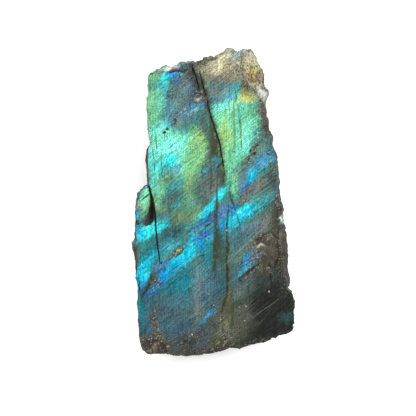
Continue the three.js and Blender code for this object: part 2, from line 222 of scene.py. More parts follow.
fill_flat(stone, FACE_HEIGHT, 1, POLISHED, FACE_STEP)
fill_flat(stone, 0, -1, SAWN, BACK_STEP)
print("open edges", sum(e.is_boundary for e in stone.edges))
print("edges of more than two faces", sum(len(e.link_faces) > 2 for e in stone.edges))

# %% The finished mesh
def place_object(name, data):
    """An object that shows some data, in the scene."""
    made = bpy.data.objects.new(name, data)
    bpy.context.scene.collection.objects.link(made)
    return made


for face in stone.faces:
    face.smooth = face.material_index == BROKEN
skin = bpy.data.meshes.new(NAME)
stone.to_mesh(skin)
stone.free()
piece = place_object(NAME, skin)
print("stone triangles", len(skin.polygons))

# %% [markdown]
# ## Sums on wires
# The colours of a stone like this are layers of soft marks over each other. In a material every mark is a few
# nodes, so one small class lets the sums be written as plain expressions.

# %% A wire that can be added, multiplied and shaped
class Wire:
    """A value on its way through a material."""

    def __init__(self, tree, socket):
        self.tree = tree
        self.socket = socket

    def node(self, kind, settings=None, values=None, out=0):
        """Makes a node, sets it up, feeds it, and returns one of its outputs."""
        made = self.tree.nodes.new(kind)
        for name, setting in (settings or {}).items():
            setattr(made, name, setting)
        for key, value in (values or {}).items():
            if isinstance(value, Wire):
                self.tree.links.new(value.socket, made.inputs[key])
            else:
                made.inputs[key].default_value = value
        return Wire(self.tree, made.outputs[out])

    def sum(self, operation, *terms):
        return self.node("ShaderNodeMath", {"operation": operation}, dict(enumerate(terms)))

    def vector(self, operation, *terms, out=0):
        values = dict(enumerate((self, *terms)))
        return self.node("ShaderNodeVectorMath", {"operation": operation}, values, out)

    def __add__(self, other):
        return self.sum("ADD", self, other)

    def __sub__(self, other):
        return self.sum("SUBTRACT", self, other)

    def __rsub__(self, other):
        return self.sum("SUBTRACT", other, self)

    def __mul__(self, other):
        return self.sum("MULTIPLY", self, other)

    def __truediv__(self, other):
        return self.sum("DIVIDE", self, other)

    __radd__ = __add__
    __rmul__ = __mul__

    def scaled(self, factor):
        """The same vector or colour, times a factor."""
        return self.node("ShaderNodeVectorMath", {"operation": "SCALE"}, {0: self, "Scale": factor})

    def ease(self, start, end, low=0.0, high=1.0):
        """A smooth passage from low, up to start, to high, beyond end."""
        values = {0: self, 1: start, 2: end, 3: low, 4: high}
        return self.node("ShaderNodeMapRange", {"interpolation_type": "SMOOTHSTEP"}, values)

    def parts(self):
        """The x, y and z of a place, or the three parts of a colour."""
        split = self.node("ShaderNodeSeparateXYZ", {}, {0: self})
        return [Wire(self.tree, out) for out in split.socket.node.outputs]

    def plain(self, name):
        """A named colour on a wire of its own."""
        wire = self.node("ShaderNodeRGB")
        wire.socket.default_value = tint(name)
        return wire

    def over(self, colour, amount):
        """This colour with another laid over it."""
        return self.node("ShaderNodeMix", {"data_type": "RGBA"}, {0: amount, 6: self, 7: colour}, 2)

    def under(self, **layers):
        """This colour with named colours laid over it one after the other, each by its amount."""
        colour = self
        for name, amount in layers.items():
            colour = colour.over(tint(name), amount)
        return colour

    def attribute(self, name, out="Color"):
        """A colour laid on the points of the mesh, or another output of it."""
        return self.node("ShaderNodeAttribute", {"attribute_name": name}, {}, out)

    def laid_on(self, colour, amount):
        """This colour over another, as far as its alpha covers it."""
        cover = Wire(self.tree, self.socket.node.outputs["Alpha"])
        return colour.over(self, cover * amount)

    def along(self, x, y, length, width, angle):
        """Places measured from (x, y), along and across a slanting direction."""
        values = {
            "Vector": self,
            "Location": (x, y, 0),
            "Rotation": (0, 0, math.radians(angle)),
            "Scale": (length, width, width),
        }
        return self.node("ShaderNodeMapping", {"vector_type": "TEXTURE"}, values)

    def grain(self, length, width, angle, detail, seed, out=0):
        """Noise from 0 to 1, drawn out along a direction. Each seed takes it from somewhere else."""
        places = self.along(17.3 * seed, -9.1 * seed, length, width, angle)
        return self.node("ShaderNodeTexNoise", {}, {"Vector": places, "Scale": 1.0, "Detail": detail}, out)

    def swing(self, *grain):
        """The same noise, from -0.5 to 0.5."""
        return self.grain(*grain) - 0.5

    def fuzz(self, size, detail, reach):
        """Places strayed a little this way and that."""
        stray = self.grain(size, size, 0, detail, 2, "Color").vector("SUBTRACT", (0.5, 0.5, 0.5))
        return self.vector("ADD", stray.vector("MULTIPLY", reach))


# %% A material, its shader and what it is fed
def new_material(name, shine):
    """A material with its shader, and the places on the stone in mm."""
    material = bpy.data.materials.new(name)
    material.use_nodes = True
    tree = material.node_tree
    shader = tree.nodes["Principled BSDF"]
    shader.inputs["Specular IOR Level"].default_value = shine
    spot = Wire(tree, tree.nodes.new("ShaderNodeTexCoord").outputs["Object"]).scaled(1 / MM)
    return material, shader, spot


def feed(shader, colour, roughness, height, strength, depth):
    """Gives a shader its colour, its roughness and its relief, whose depth is in mm."""
    bump = {"Strength": strength, "Distance": depth * MM, "Height": height}
    relief = height.node("ShaderNodeBump", {}, bump)
    for name, wire in {"Base Color": colour, "Roughness": roughness, "Normal": relief}.items():
        wire.tree.links.new(wire.socket, shader.inputs[name])


# %% [markdown]
# ## The colours of the flash
# Labradorite is dark feldspar full of hair-thin layers. Where the layers lie flat to the face they throw back
# blue, green and gold, in bands that run on a slant through the stone, and where they don't it stays grey,
# brown or almost black. The bands are marked here one by one, as ovals with feathered edges, each placed in
# millimetres from the middle of the slab. They could be drawn as a picture instead, but ovals can be moved one
# at a time and stay sharp at any size.

# %% Named colours: red, green and blue of each, from 0 to 255
COLOURS = """
black 0 0 0, white 255 255 255, depth 50 84 94, storm 72 84 88, gale 58 80 112, inlet 40 126 144,
tide 76 104 118, mist_low 128 146 146, dusk 56 94 106, grey_low 98 106 102, summer 62 148 196,
sage_low 110 142 124, sea_low 52 122 130, pine 70 108 100, yew 84 104 98, ink 30 62 72,
leaf 130 205 155, jade 120 215 185, bud 150 210 155, fjord 92 120 120, teal 72 160 170,
cyan 76 232 238, azure 36 146 220, sky 85 170 205, moss 120 150 105, sea 65 130 125,
navy 60 82 118, soot 34 29 25, umber 66 56 44, ocean 55 125 185, slate 95 125 145,
mauve 112 110 115, sage 125 150 130, haze 165 215 230, oat 190 190 165, khaki 196 194 156,
sedge 105 102 82, rush 125 128 98, dove 122 118 104, zinc 108 120 120, sand 222 218 178,
mist 190 204 206, brass 150 132 88, hay 196 184 140, straw 205 220 125, foam 165 250 220,
ice 140 250 238, peat 68 72 52, olive 150 150 70, gold 206 186 112, amber 206 160 96,
lime 158 216 130, mint 140 240 210, petrol 65 105 120, grass 128 192 138, steel 84 146 184,
aqua 30 200 236, cool_teal 90 112 106, gloom 78 102 100, iris 88 128 192, indigo 58 88 146,
blue 42 112 208, lagoon 68 118 132, bog 54 62 54, charcoal 38 39 34, fir 78 78 56,
sea_dark 48 76 74, tan 150 140 115, cream 228 222 195, rust 112 72 58, lichen 80 85 73,
citrus 160 194 104, bark 88 78 62, chip 236 244 230, loam 56 44 36, pitch 34 37 31,
chalk 206 220 204, drab 84 82 64, night 26 48 66, taupe 92 86 72, seam_green 100 140 66,
seam_brown 86 98 56, vein 58 62 34, seam_black 38 36 24, seam_olive 92 86 44
"""
PALETTE = {name: [int(part) for part in parts] for name, *parts in map(str.split, COLOURS.split(","))}


def linear(part):
    """How much light a part of a screen colour stands for, by the usual curve of screens."""
    part /= 255
    return part / 12.92 if part <= 0.04045 else ((part + 0.055) / 1.055) ** 2.4


def tint(name):
    """A named colour as the shader wants it."""
    return (*[linear(part) for part in PALETTE[name]], 1.0)


print("colours", len(PALETTE))

# %% How a table of marks is written
def read_marks(text, colour="", feather=""):
    """Reads marks, one a line. A colour or a feather given here holds for all of them.

    The words of a line are: colour, x, y, half length, half width, angle in degrees, feather in tenths and
    strength in percent.
    """
    marks = []
    for line in text.strip().splitlines():
        start, strength = line.rsplit(" ", 1)
        name, *numbers = f"{colour} {start} {feather}".split()
        if name != "#":
            *place, soft = map(float, numbers)
            marks.append((name, *place, soft / 10, float(strength) / 100))
    return marks


# %% The marks of the polished face
FLASH = read_marks("""
# the dark ground of the lower half
depth -6.8 -58.2 60 26 0 3 95
storm -1.8 -74.2 55 12 4 6 90
# the left margin and the upper left block
leaf -30.9 51 15 4.5 90 8 95
sea -31.9 58.5 3 1.5 60 9 60
teal -27.9 54.5 4 1.5 80 9 60
leaf -30.4 62 2.5 1.2 30 8 60
jade -27.4 51 8 2.5 90 8 70
bud -31.4 50.5 4 1.5 90 8 60
fjord -15.4 53.5 13.5 9.5 100 5 95
teal -23.4 57 4.5 2 90 7 70
cyan -24.4 61 5 1.5 90 7 90
azure -20.4 63.2 3 1.8 0 6 95
azure -18.4 60.5 3 1 80 6 60
sky -24.4 50.5 3.5 1.25 80 8 75
sky -20.4 47.5 3.5 1.5 80 8 50
moss -27.9 62.5 1.75 1.5 0 8 70
sea -29.4 57.5 3 1.25 0 7 85
teal -30.4 64.5 2.5 1.5 40 8 60
navy -10.3 53 5.5 2.5 85 8 80
soot -11.3 62.5 4 3.5 100 9 45
umber -11.3 65 4 2.5 100 7 80
ocean -14.9 66.5 3.5 2 0 7 90
cyan -15.4 64 1.25 .8 0 7 90
sky -18.4 66.5 2 .8 60 7 85
slate -13.8 57 3 2.5 20 9 40
mauve -14.4 59 4 2 20 9 50
sage -18.4 50.5 4 1.5 70 9 45
navy -6.3 50.5 4 1.75 20 8 85
ocean -9.8 47 5.5 1.7 24 7 80
steel -11.3 46 4.5 1.3 28 9 50
haze -11.8 44.2 4.5 .65 24 7 75
haze -14.6 45.5 1.3 .8 30 7 90
sky -8.3 48.5 3 .5 24 9 50
slate -16.4 41.5 7 2.5 22 8 75
ocean -22.4 38.5 3.5 1.5 28 6 90
sage -17.9 40 2.5 1.75 0 8 70
sea -5.3 42 4.5 2.5 100 9 50
slate -21.4 43.5 4.5 2 30 9 50
oat -7.8 51.5 2.5 1.25 40 8 60
# the khaki end
khaki 2.7 68 10.5 6 10 5 95
sedge -5.8 68 3.5 4 100 8 80
rush -3.8 62.5 3.5 2.5 90 8 70
dove 5.2 62 9.5 3 0 7 95
zinc 3.7 55.5 8.5 3.5 20 6 95
slate 6.2 57 3 1.7 20 8 90
sand 4.2 69 8 4 16 9 80
sand 11.2 64.5 4.5 3.5 0 9 60
mist 11.2 72.5 3.5 2 0 8 85
steel 12 73 1.5 1.2 0 8 70
dove -.8 64.5 4 2 60 9 40
haze 14.8 75.5 2.5 1.2 0 7 80
haze 14.3 70.5 .7 2 0 8 80
brass 18.3 66 9 4 95 9 85
amber 17.8 62 4 1.5 95 9 40
oat 13.7 68 5 1.5 95 9 50
straw 16.3 68 3 1 95 9 60
hay 7.2 67.5 2 2.5 0 9 70
dove 11.2 63 3.5 3 0 9 60
sand -.8 70 .75 2.5 0 9 50
straw -3.6 57.5 1.2 .8 40 8 80
# the right field
jade 9.7 39 15 10.5 100 3 97
leaf 19.8 44 7 4 80 8 60
foam 8.2 46.5 4 2 60 8 85
ice 4.2 48 4 2 38 8 90
slate 3.2 51.5 5 1.8 26 7 90
sky 8.2 52 3 1.3 52 8 90
foam 12.7 50.5 3 1.5 80 8 90
teal 11.2 57 2 1.5 60 8 80
peat 16.1 57 2.2 2 -30 7 90
sea_low 18.1 57.8 1.3 .6 -40 7 90
olive 14.8 54.5 3 1.2 105 8 90
straw 16.3 50.5 3 1.2 -5 8 85
gold 18.8 51.7 3.25 1.7 -10 8 85
straw 16.5 51.5 2 1 -5 8 80
olive 17.3 54 1.5 1.5 0 9 60
lime 6.2 34.5 8 3.5 95 8 85
jade 13.2 31 6 4 95 9 40
citrus 5.2 32 4.5 1.3 96 9 60
lime 7.7 28 4.5 2.5 95 9 50
mint 16.8 35 6.5 2.5 66 8 80
ice 15.8 28 4.5 2 66 8 70
sea 21.8 45.5 4 2 100 9 60
dove 24.3 44.5 4.5 2 100 8 80
umber 26.3 38.5 7 2.25 100 7 95
fjord 23.8 31 5.5 2.5 60 8 85
yew 28.3 25 5.5 2.5 100 8 90
depth 29.3 25.5 6 2 100 9 60
leaf 8.2 19.5 8.5 4 100 6 90
jade 12.2 22.5 4 1.5 70 8 70
jade 11.2 16.9 7 3 95 9 80
grass 5.2 16.9 5 1.5 100 8 40
sage_low 19.3 23 8.5 3 40 8 80
teal 20.8 15.9 6 1.5 38 9 50
steel 22.8 20 8.5 2.4 38 7 85
steel 21.3 18.5 5 1.3 38 9 50
sky 27.3 19.5 3.5 1.2 40 8 80
petrol 29.3 25 3.5 1 100 8 50
sky 23.3 16.9 4.5 .8 38 8 70
azure 18.3 12.4 3.5 2 46 8 80
aqua 18.8 13.2 3 1.5 42 8 80
iris 14.8 6.7 2.5 1.3 40 8 75
ocean 17 9.4 2.5 1.3 40 8 80
zinc 13.7 13.4 3.5 3 45 8 80
slate 13.2 8.9 3 1.7 40 8 80
mauve 18.3 5.9 8.5 2 38 7 85
dove 26.3 9.4 6.5 3.5 40 8 85
sage 25.3 3.9 6.5 1 38 8 60
sage 22.3 .9 7.5 .8 37 8 60
tide 29.3 5.9 8 4 85 8 90
gloom 28.8 5.9 7.5 4 60 9 75
bog 31.1 -4.6 6 2 92 9 80
bog 29.5 11.9 4.5 2 95 9 70
sea 11.2 15.9 4 2 70 9 40
leaf 10.2 8.9 5 1.75 100 8 85
jade 9.7 5.9 4 1 100 8 70
teal 19.3 -2.1 9 1.8 33 8 90
aqua 14.8 -5.6 6 2.7 36 6 95
cyan 13.2 -5.1 3 1.5 36 8 70
teal 24.3 -1.6 5 1 33 9 70
grey_low 24.3 -10.1 9 4.5 38 7 95
slate 19.3 -12.1 5.5 2.5 20 8 70
dove 26.3 -10.1 6 2 40 9 50
peat 30.3 -7.6 6 1.5 92 8 80
oat 15.8 .4 3 .7 16 8 80
umber 13.7 .2 1.3 .8 30 8 80
# the grey middle column
yew -3.8 26 21 3 95 5 90
yew -4.8 5.9 8.5 5.5 65 6 95
zinc -1.3 8.4 7 2.5 92 8 70
peat .7 26 10 2.25 97 7 92
umber 1.4 31.5 7 1.2 102 9 75
umber -5.8 55 12 1.5 109 9 50
sea 1.2 20 1.9 1.8 0 6 97
slate 1 15.7 2 1.1 0 8 90
sky -3.2 15.4 2 .8 85 8 90
peat 3.2 14.9 4 2 95 8 90
peat 1.2 11.9 5 3 92 9 60
zinc 1.2 8.4 5 1.8 92 9 80
grass 3 26 6 1 98 9 70
teal 1.5 20.3 2 1.9 0 6 90
lagoon 1 16.2 1.7 1.1 0 8 75
sky -3.3 15.4 1.7 .8 85 8 60
# the middle left field
mint -22.9 28 11 7.5 0 6 97
ice -22.9 26.5 7.5 3.5 8 8 85
leaf -28.4 31 4.5 2 60 9 60
ice -16.9 29.5 4.5 1.5 20 8 80
ice -27.4 35 5.5 3.5 60 9 60
cyan -21.9 21.7 2.7 2.7 0 5 97
cyan -31.2 18 7.5 1.3 94 7 90
mint -28.9 14.9 7.5 2.5 95 8 80
cyan -27.9 13.9 6 2.5 92 9 75
ice -16.4 17.4 5 3 70 9 70
cyan -20.9 19 3.5 2.5 60 8 75
cyan -25.9 18.5 4 .8 95 9 60
lime -8.3 27.5 7.5 3.5 98 7 90
citrus -7 26.5 6.5 1.7 97 9 65
citrus -8.3 20 3.5 1.5 80 9 50
leaf -11.3 19 10 5 60 6 85
grass -8.8 21 8 2.5 85 9 50
leaf -12.8 27 4 3 90 9 50
sage -23.4 12.4 6 2 38 8 60
sky -17.4 15.9 3 1.5 60 8 85
leaf -26.9 4.9 9 4 90 7 65
teal -28.4 7.9 4 1.2 88 8 70
jade -30.4 7.9 6 1.2 92 8 70
sea -25.4 .9 4 1.5 40 9 60
grass -10.8 9.9 7.5 3 80 7 50
fjord -16.4 5.9 7.5 .8 40 9 50
citrus -12.8 9.4 4.5 1.3 70 9 50
sedge -11.3 6.9 3.5 1 75 9 60
yew -6.8 2.9 4.5 3.5 60 9 60
teal -18.9 6.9 4.5 1.5 50 9 70
moss -20.9 11.9 3 1 30 9 60
grass -28.9 -.6 4.5 2 90 8 75
dusk -26.4 -6.1 4.5 2.5 30 9 60
gloom -20.4 .9 5 3 25 7 90
teal -17.4 -2.1 2.2 1.7 0 8 90
moss -25.9 -4.1 4.5 1.3 8 8 80
grass -12.3 -2.6 7 3.5 75 8 45
teal -9.8 -.6 4.5 .8 42 9 50
pine -16.9 -6.1 5 3 30 9 70
dusk -11.3 -8.6 4.5 2.5 50 9 45
moss -8.8 -12.1 4 1 40 9 60
pine -18.4 -11.6 9 5.5 38 6 92
moss -15.9 -7.6 4.5 2.5 30 9 60
fjord -23.9 -6.1 3.5 1.5 30 9 70
teal -26.4 -10.1 4 1.8 28 8 90
aqua -27.9 -12.8 4 1.5 25 8 90
moss -10.3 -6.6 4.5 2 60 8 60
jade -5.3 -5.8 6 1.3 42 8 90
teal -10.8 -12.1 3 2 0 8 80
pine -11.8 -15.6 4 2 38 9 70
# the streak across the middle
aqua -1.3 -2.1 9 1.9 52 5 95
cyan 4.2 4.2 4 1.7 58 6 70
cyan -.8 -1.1 5 1 52 9 60
slate 4.2 -2.6 3.5 2.5 50 8 90
iris 3.7 -6.6 5 2.5 40 8 85
indigo -5.3 -10.3 7 1.5 38 7 85
teal -.8 -14.1 4 2 50 9 60
sky -7.3 -13.6 4 1.5 38 9 60
blue -6.3 -8.6 3 .8 38 8 60
blue 9.2 -3.8 2.1 1.5 10 6 97
azure 4.2 -12.3 2.8 2.3 50 7 95
aqua 9.7 -10.1 3 4 15 7 90
teal 10.2 -15.1 3 3.5 20 9 70
# the broken wedge at the left
leaf -33.9 1.4 7.5 3 78 5 95
mint -34.9 2.9 3.5 1.5 60 8 80
azure -33.2 8.6 1.7 1.3 40 6 97
ice -34.2 -1.1 1.5 1 60 8 60
grass -33.4 -3.1 3 1.5 80 9 70
umber -37.6 .4 3.5 1.1 86 7 90
sedge -36.6 -4.1 3 .7 70 8 80
cream -38 -2.3 1 1 0 8 80
azure -38.2 -5.6 1.7 1 90 7 90
cyan -38.1 -7.6 1.2 .9 90 8 80
soot -37.9 -10.1 1.1 1.1 0 7 90
fir -34.6 -5.6 1.7 1 60 9 70
lagoon -35.6 -9.1 1.8 1.3 90 9 80
ocean -38.2 -5.6 3 1.3 92 7 95
aqua -37.9 -8.6 1.5 .8 60 8 70
# the lower left
cyan -33.4 -14.6 7 3 28 5 97
azure -37.4 -14.6 3.5 1.3 92 8 90
aqua -36.4 -17.6 3 2 60 8 80
loam -39.1 -14.6 2 .6 90 7 90
tan -39 -18.6 2 .5 90 7 70
cyan -32.6 -14.6 2.5 1.5 90 8 90
cyan -27.4 -12.8 1.5 1.3 60 8 90
sea_low -31.4 -21.6 7 2.7 38 7 92
dusk -21.9 -17.1 7.5 3.2 38 7 90
teal -22.9 -22.1 6 2.3 36 8 85
sky -21.9 -22.6 5 1.3 36 8 85
inlet -30.9 -28.1 6.5 3.5 45 7 90
loam -39.4 -27.1 5 .9 84 6 90
tan -38.8 -26.6 1.1 .6 90 8 70
tan -38.5 -29.3 .8 .5 90 8 70
fjord -30.8 -30.1 3.5 .7 92 8 80
aqua -33.9 -30.1 6 1.6 48 7 90
aqua -34.9 -35.1 5.5 2.3 68 6 97
cyan -33.2 -37.1 3.5 1 75 8 80
dusk -37.7 -41.1 5 .8 95 7 95
cyan -39.2 -38.1 1.7 .4 95 7 90
azure -34.9 -40.6 3.5 1.2 65 8 90
sea -26.9 -28.1 4.5 2 60 8 70
aqua -14.9 -27.6 9.5 3.2 38 5 97
aqua -10.8 -20.6 4.5 2 62 7 95
azure -18.9 -31.1 6 1.5 38 9 50
iris -26.4 -31.1 4 1.5 30 8 85
azure -24.9 -37.1 5 2.1 66 6 95
azure -29.4 -43.1 3 1.2 20 8 80
blue -31.9 -45.6 1.5 1 0 7 90
umber -34.9 -47.9 2 1.5 60 9 60
tide -28.9 -36.6 4.5 2 82 7 95
taupe -29.4 -41.1 2 1.5 40 8 70
gloom -28.9 -40.1 2.5 2 0 9 70
inlet -15.9 -40.6 8.5 6 38 7 95
sky -16.4 -33.1 7 .75 38 9 50
lagoon -21.9 -53.1 14 7.5 8 6 75
petrol -31.9 -49.6 7 2.5 6 8 80
depth -36.4 -48.1 5 3 60 8 80
teal -36.6 -52.1 4 1.3 92 9 60
storm -27.9 -55.2 6 4 90 9 60
storm -17.9 -56.2 6 4 0 9 50
pitch -38.4 -51.1 5 .45 88 7 90
inlet -36.4 -55.2 7.5 2 92 7 90
lagoon -14.9 -49.1 6.5 4 30 9 50
gale -18.9 -63.7 7.5 2.2 34 8 85
lagoon -21.4 -61.7 2.5 1.2 38 9 60
petrol -30.9 -58.2 8 2 92 9 60
gloom -13.8 -56.7 6 3 30 9 50
storm -20.9 -53.1 13 5 12 9 35
gloom -22.9 -66.2 7 3 20 9 40
# the lower middle
inlet -3.3 -25.1 8 4 92 7 90
blue -4.8 -17.1 4.5 2.3 40 7 92
azure -6.3 -20.6 3 2 60 8 85
aqua -.8 -17.1 2.5 1.3 60 8 80
tide -3.3 -43.1 11 5 92 6 92
teal -3.8 -33.1 4 2.5 60 8 50
mist_low -7.5 -44.1 13 2.5 91 9 50
steel -2.3 -41.6 1.5 1.5 0 8 50
tide -3.8 -49.1 6 4.5 92 8 60
dove -7.8 -54.2 5 2 90 9 60
sky -3.3 -57 4.5 .75 38 8 75
azure -.1 -54.9 2.5 .75 40 7 95
storm -4.8 -64.2 7.5 4 38 7 90
tide .2 -36.1 5 2.5 92 9 70
dusk 3.7 -19.1 7 3 92 8 90
peat 4 -27.1 7 2.5 92 9 70
tide 13.2 -20.1 7 5 30 7 90
cool_teal 12.2 -30.1 6.5 4.5 92 8 90
summer 18.3 -29.1 4.5 2.8 52 6 95
azure 18.1 -28.6 4 2.2 50 9 75
aqua 14.8 -34.6 3.7 .9 50 7 97
dusk 10.2 -41.1 7 3 80 8 80
sage 13.2 -45.6 6.5 4 40 9 50
steel 18.8 -37.1 6 1 38 7 90
oat 18.3 -35.4 4.5 .45 38 7 80
# the dark lower right
petrol 18.3 -49.1 13 13 30 4 60
bog 24.3 -45.1 15 11 30 4 97
charcoal 31.8 -55.2 13 15 0 4 100
charcoal 25.3 -63.2 14 7.5 14 6 97
bog 18.8 -40.6 7 3 38 9 60
lichen 9.2 -60.2 10 14 0 4 97
fir 8.7 -52.1 4.5 2 90 9 60
taupe 12.2 -62.2 7 1.5 92 9 50
charcoal 35.3 -45.1 5 6 0 8 90
cool_teal 13.2 -44.6 7 3.5 40 9 50
zinc 13.2 -44.1 6 2.5 40 9 35
soot 24.3 -64.2 8 4 20 9 35
pitch 35.3 -37.1 7 3 92 8 90
charcoal 22.3 -66.2 8 4 20 9 60
sea_dark 35.8 -57.7 3.5 2.5 10 7 90
rush 5.2 -62.2 4.5 2.5 60 8 80
zinc 6.2 -65.7 3.5 2.5 0 9 60
lichen -4.3 -72.2 18 3.5 7 6 92
charcoal -11.8 -69.7 4.5 2.5 10 9 70
gale -3.8 -70.7 3.5 1.3 38 9 60
charcoal 13.2 -71.2 15 2 14 8 90
gale -5.3 -69.2 6 1.5 38 9 60
sea_dark -30.9 -70.7 5 3.5 0 8 70
bark -29.8 -56.7 4.5 .65 96 8 85
bark -28.2 -64.2 5 1.2 102 8 90
bark -25.1 -71.7 4 2 108 8 90
tan -27.4 -66.2 2.5 .5 104 9 60
tan -28.7 -60.7 3.5 .45 98 9 60
tan -25.7 -68.2 3.5 .6 104 9 70
cream -23.7 -72.2 2 .5 100 9 50
umber -32.4 -74.2 4 2 40 8 80
bark -31.9 -67.2 5.5 1.7 8 9 60
loam -22.4 -72.7 4 2 100 9 60
soot -26.9 -73.7 4 2 10 9 40
loam .2 -74.7 15 2.5 4 9 80
fir .2 -68.7 8 3.5 8 9 60
# the weathered right side
drab 27.3 -24.1 9 6 60 9 90
drab 29.3 -16.1 5 3.5 70 8 85
bog 31.3 -31.1 6 2.5 92 8 90
bog 27.3 -36.1 6 4 40 9 80
tan 23.3 -21.1 3.5 1.8 0 9 70
dove 21.3 -23.1 3 5 80 9 75
drab 24.8 -17.1 5 1.7 25 9 70
drab 23.3 -28.1 2 3.5 80 9 70
loam 34.8 -22.6 12 2.5 92 7 92
soot 34.8 -12.1 3 1.5 92 8 80
dove 29.3 -22.1 3.5 2.5 90 9 50
fir 26.3 -31.1 5 3.5 50 9 80
rust 26 -33.3 1 .7 0 8 70
""")
print("marks on the face", len(FLASH))

# %% Where the face crumbles
CRUMBLE = read_marks("""
24.3 -17.1 4.5 1.5 30 9 100
21.8 -21.1 2 3 90 9 100
21.8 -27.1 1.5 3.5 100 9 90
-31.9 -67.7 5 1.3 10 9 100
-28.6 -60.2 4.5 .7 98 9 100
-26.2 -67.7 4 1 104 9 100
-23.9 -72.2 4 1.5 100 9 100
-27.4 -68.2 4 1 105 9 100
-12.8 -69.2 15 4 4 9 25
6.2 -67.2 7 5 10 9 25
-30 -56.2 3.5 .65 96 8 100
-29.2 -61.2 3.5 1.1 98 8 100
-27.7 -66.2 4 1.5 104 8 100
-25.4 -71.2 4 1.7 108 8 100
-31.9 -70.7 4 1.3 95 8 80
-29.9 -72.2 5.5 3.5 5 8 100
21.8 -21.6 3 1.7 10 8 100
25.8 -24.6 5 4 50 8 80
28.3 -30.1 5 3.5 60 9 70
19.3 -30.1 4 1.2 42 8 60
22.3 -33.1 6 2 40 8 70
16.8 -34.1 5 1 40 7 80
7.2 67.5 2.5 3 0 9 80
16.3 66 9 4 95 9 100
13.2 70 3 2.5 0 9 70
11.2 65 3 2.5 0 9 60
19.3 60 4 2.5 0 8 90
-4.3 69 4 2.5 20 9 70
-7.8 51.5 3 2 30 8 100
15.8 .4 3 1 16 7 100
13.7 -.6 1.5 1 0 8 80
-17.9 -24.6 4.5 1.5 42 7 100
-13.8 -22.1 3 .8 40 8 80
-28.9 -40.1 3 2 0 8 90
-30.9 -42.6 3 1.5 30 9 70
-11.8 -65.7 3 1.5 20 9 70
-14.9 -69.7 2.5 1.5 20 9 70
-8.8 -66.7 2.5 1 90 9 60
4.2 -58.2 2.5 2 0 9 60
-3.8 -17.1 3 2 30 9 70
-7.3 -15.1 2 1 60 8 80
-19.9 40 2.5 2 40 9 70
-21.9 53.5 3 2 60 9 100
-13.8 45.5 2.5 1.2 24 8 80
-8.8 52.5 3 2 30 9 100
-21.6 50.5 2 1.5 60 9 90
-16.9 63 3 2 80 9 80
-13.8 66.5 3.5 2.5 0 9 90
-21.9 59.5 1.5 2 80 9 60
-24.4 66.5 4 1.5 0 7 90
24.3 45 5 2 100 9 80
27.3 36 6 2 104 9 70
29.3 16.9 4 1.5 100 8 80
31.3 -1.6 7 1.3 92 8 80
33.3 -21.6 10 2 92 8 80
35.3 -39.1 6 2 92 9 60
.7 -73.2 15 1 8 8 70
24.3 -68.7 12 1 15 9 60
5.7 -69.2 4 2.5 20 9 70
-39.4 -10.1 1.5 2 90 8 90
-38.9 -1.6 2 1.2 90 8 90
-38.4 -20.6 2.5 1.3 90 8 90
-39.9 -26.6 4 1 90 8 80
20.1 26 4.5 1.8 44 8 90
16.3 20.5 2 1.2 60 8 80
17.3 19 3 2 40 9 60
""", colour="white")
print("crumbling places", len(CRUMBLE))
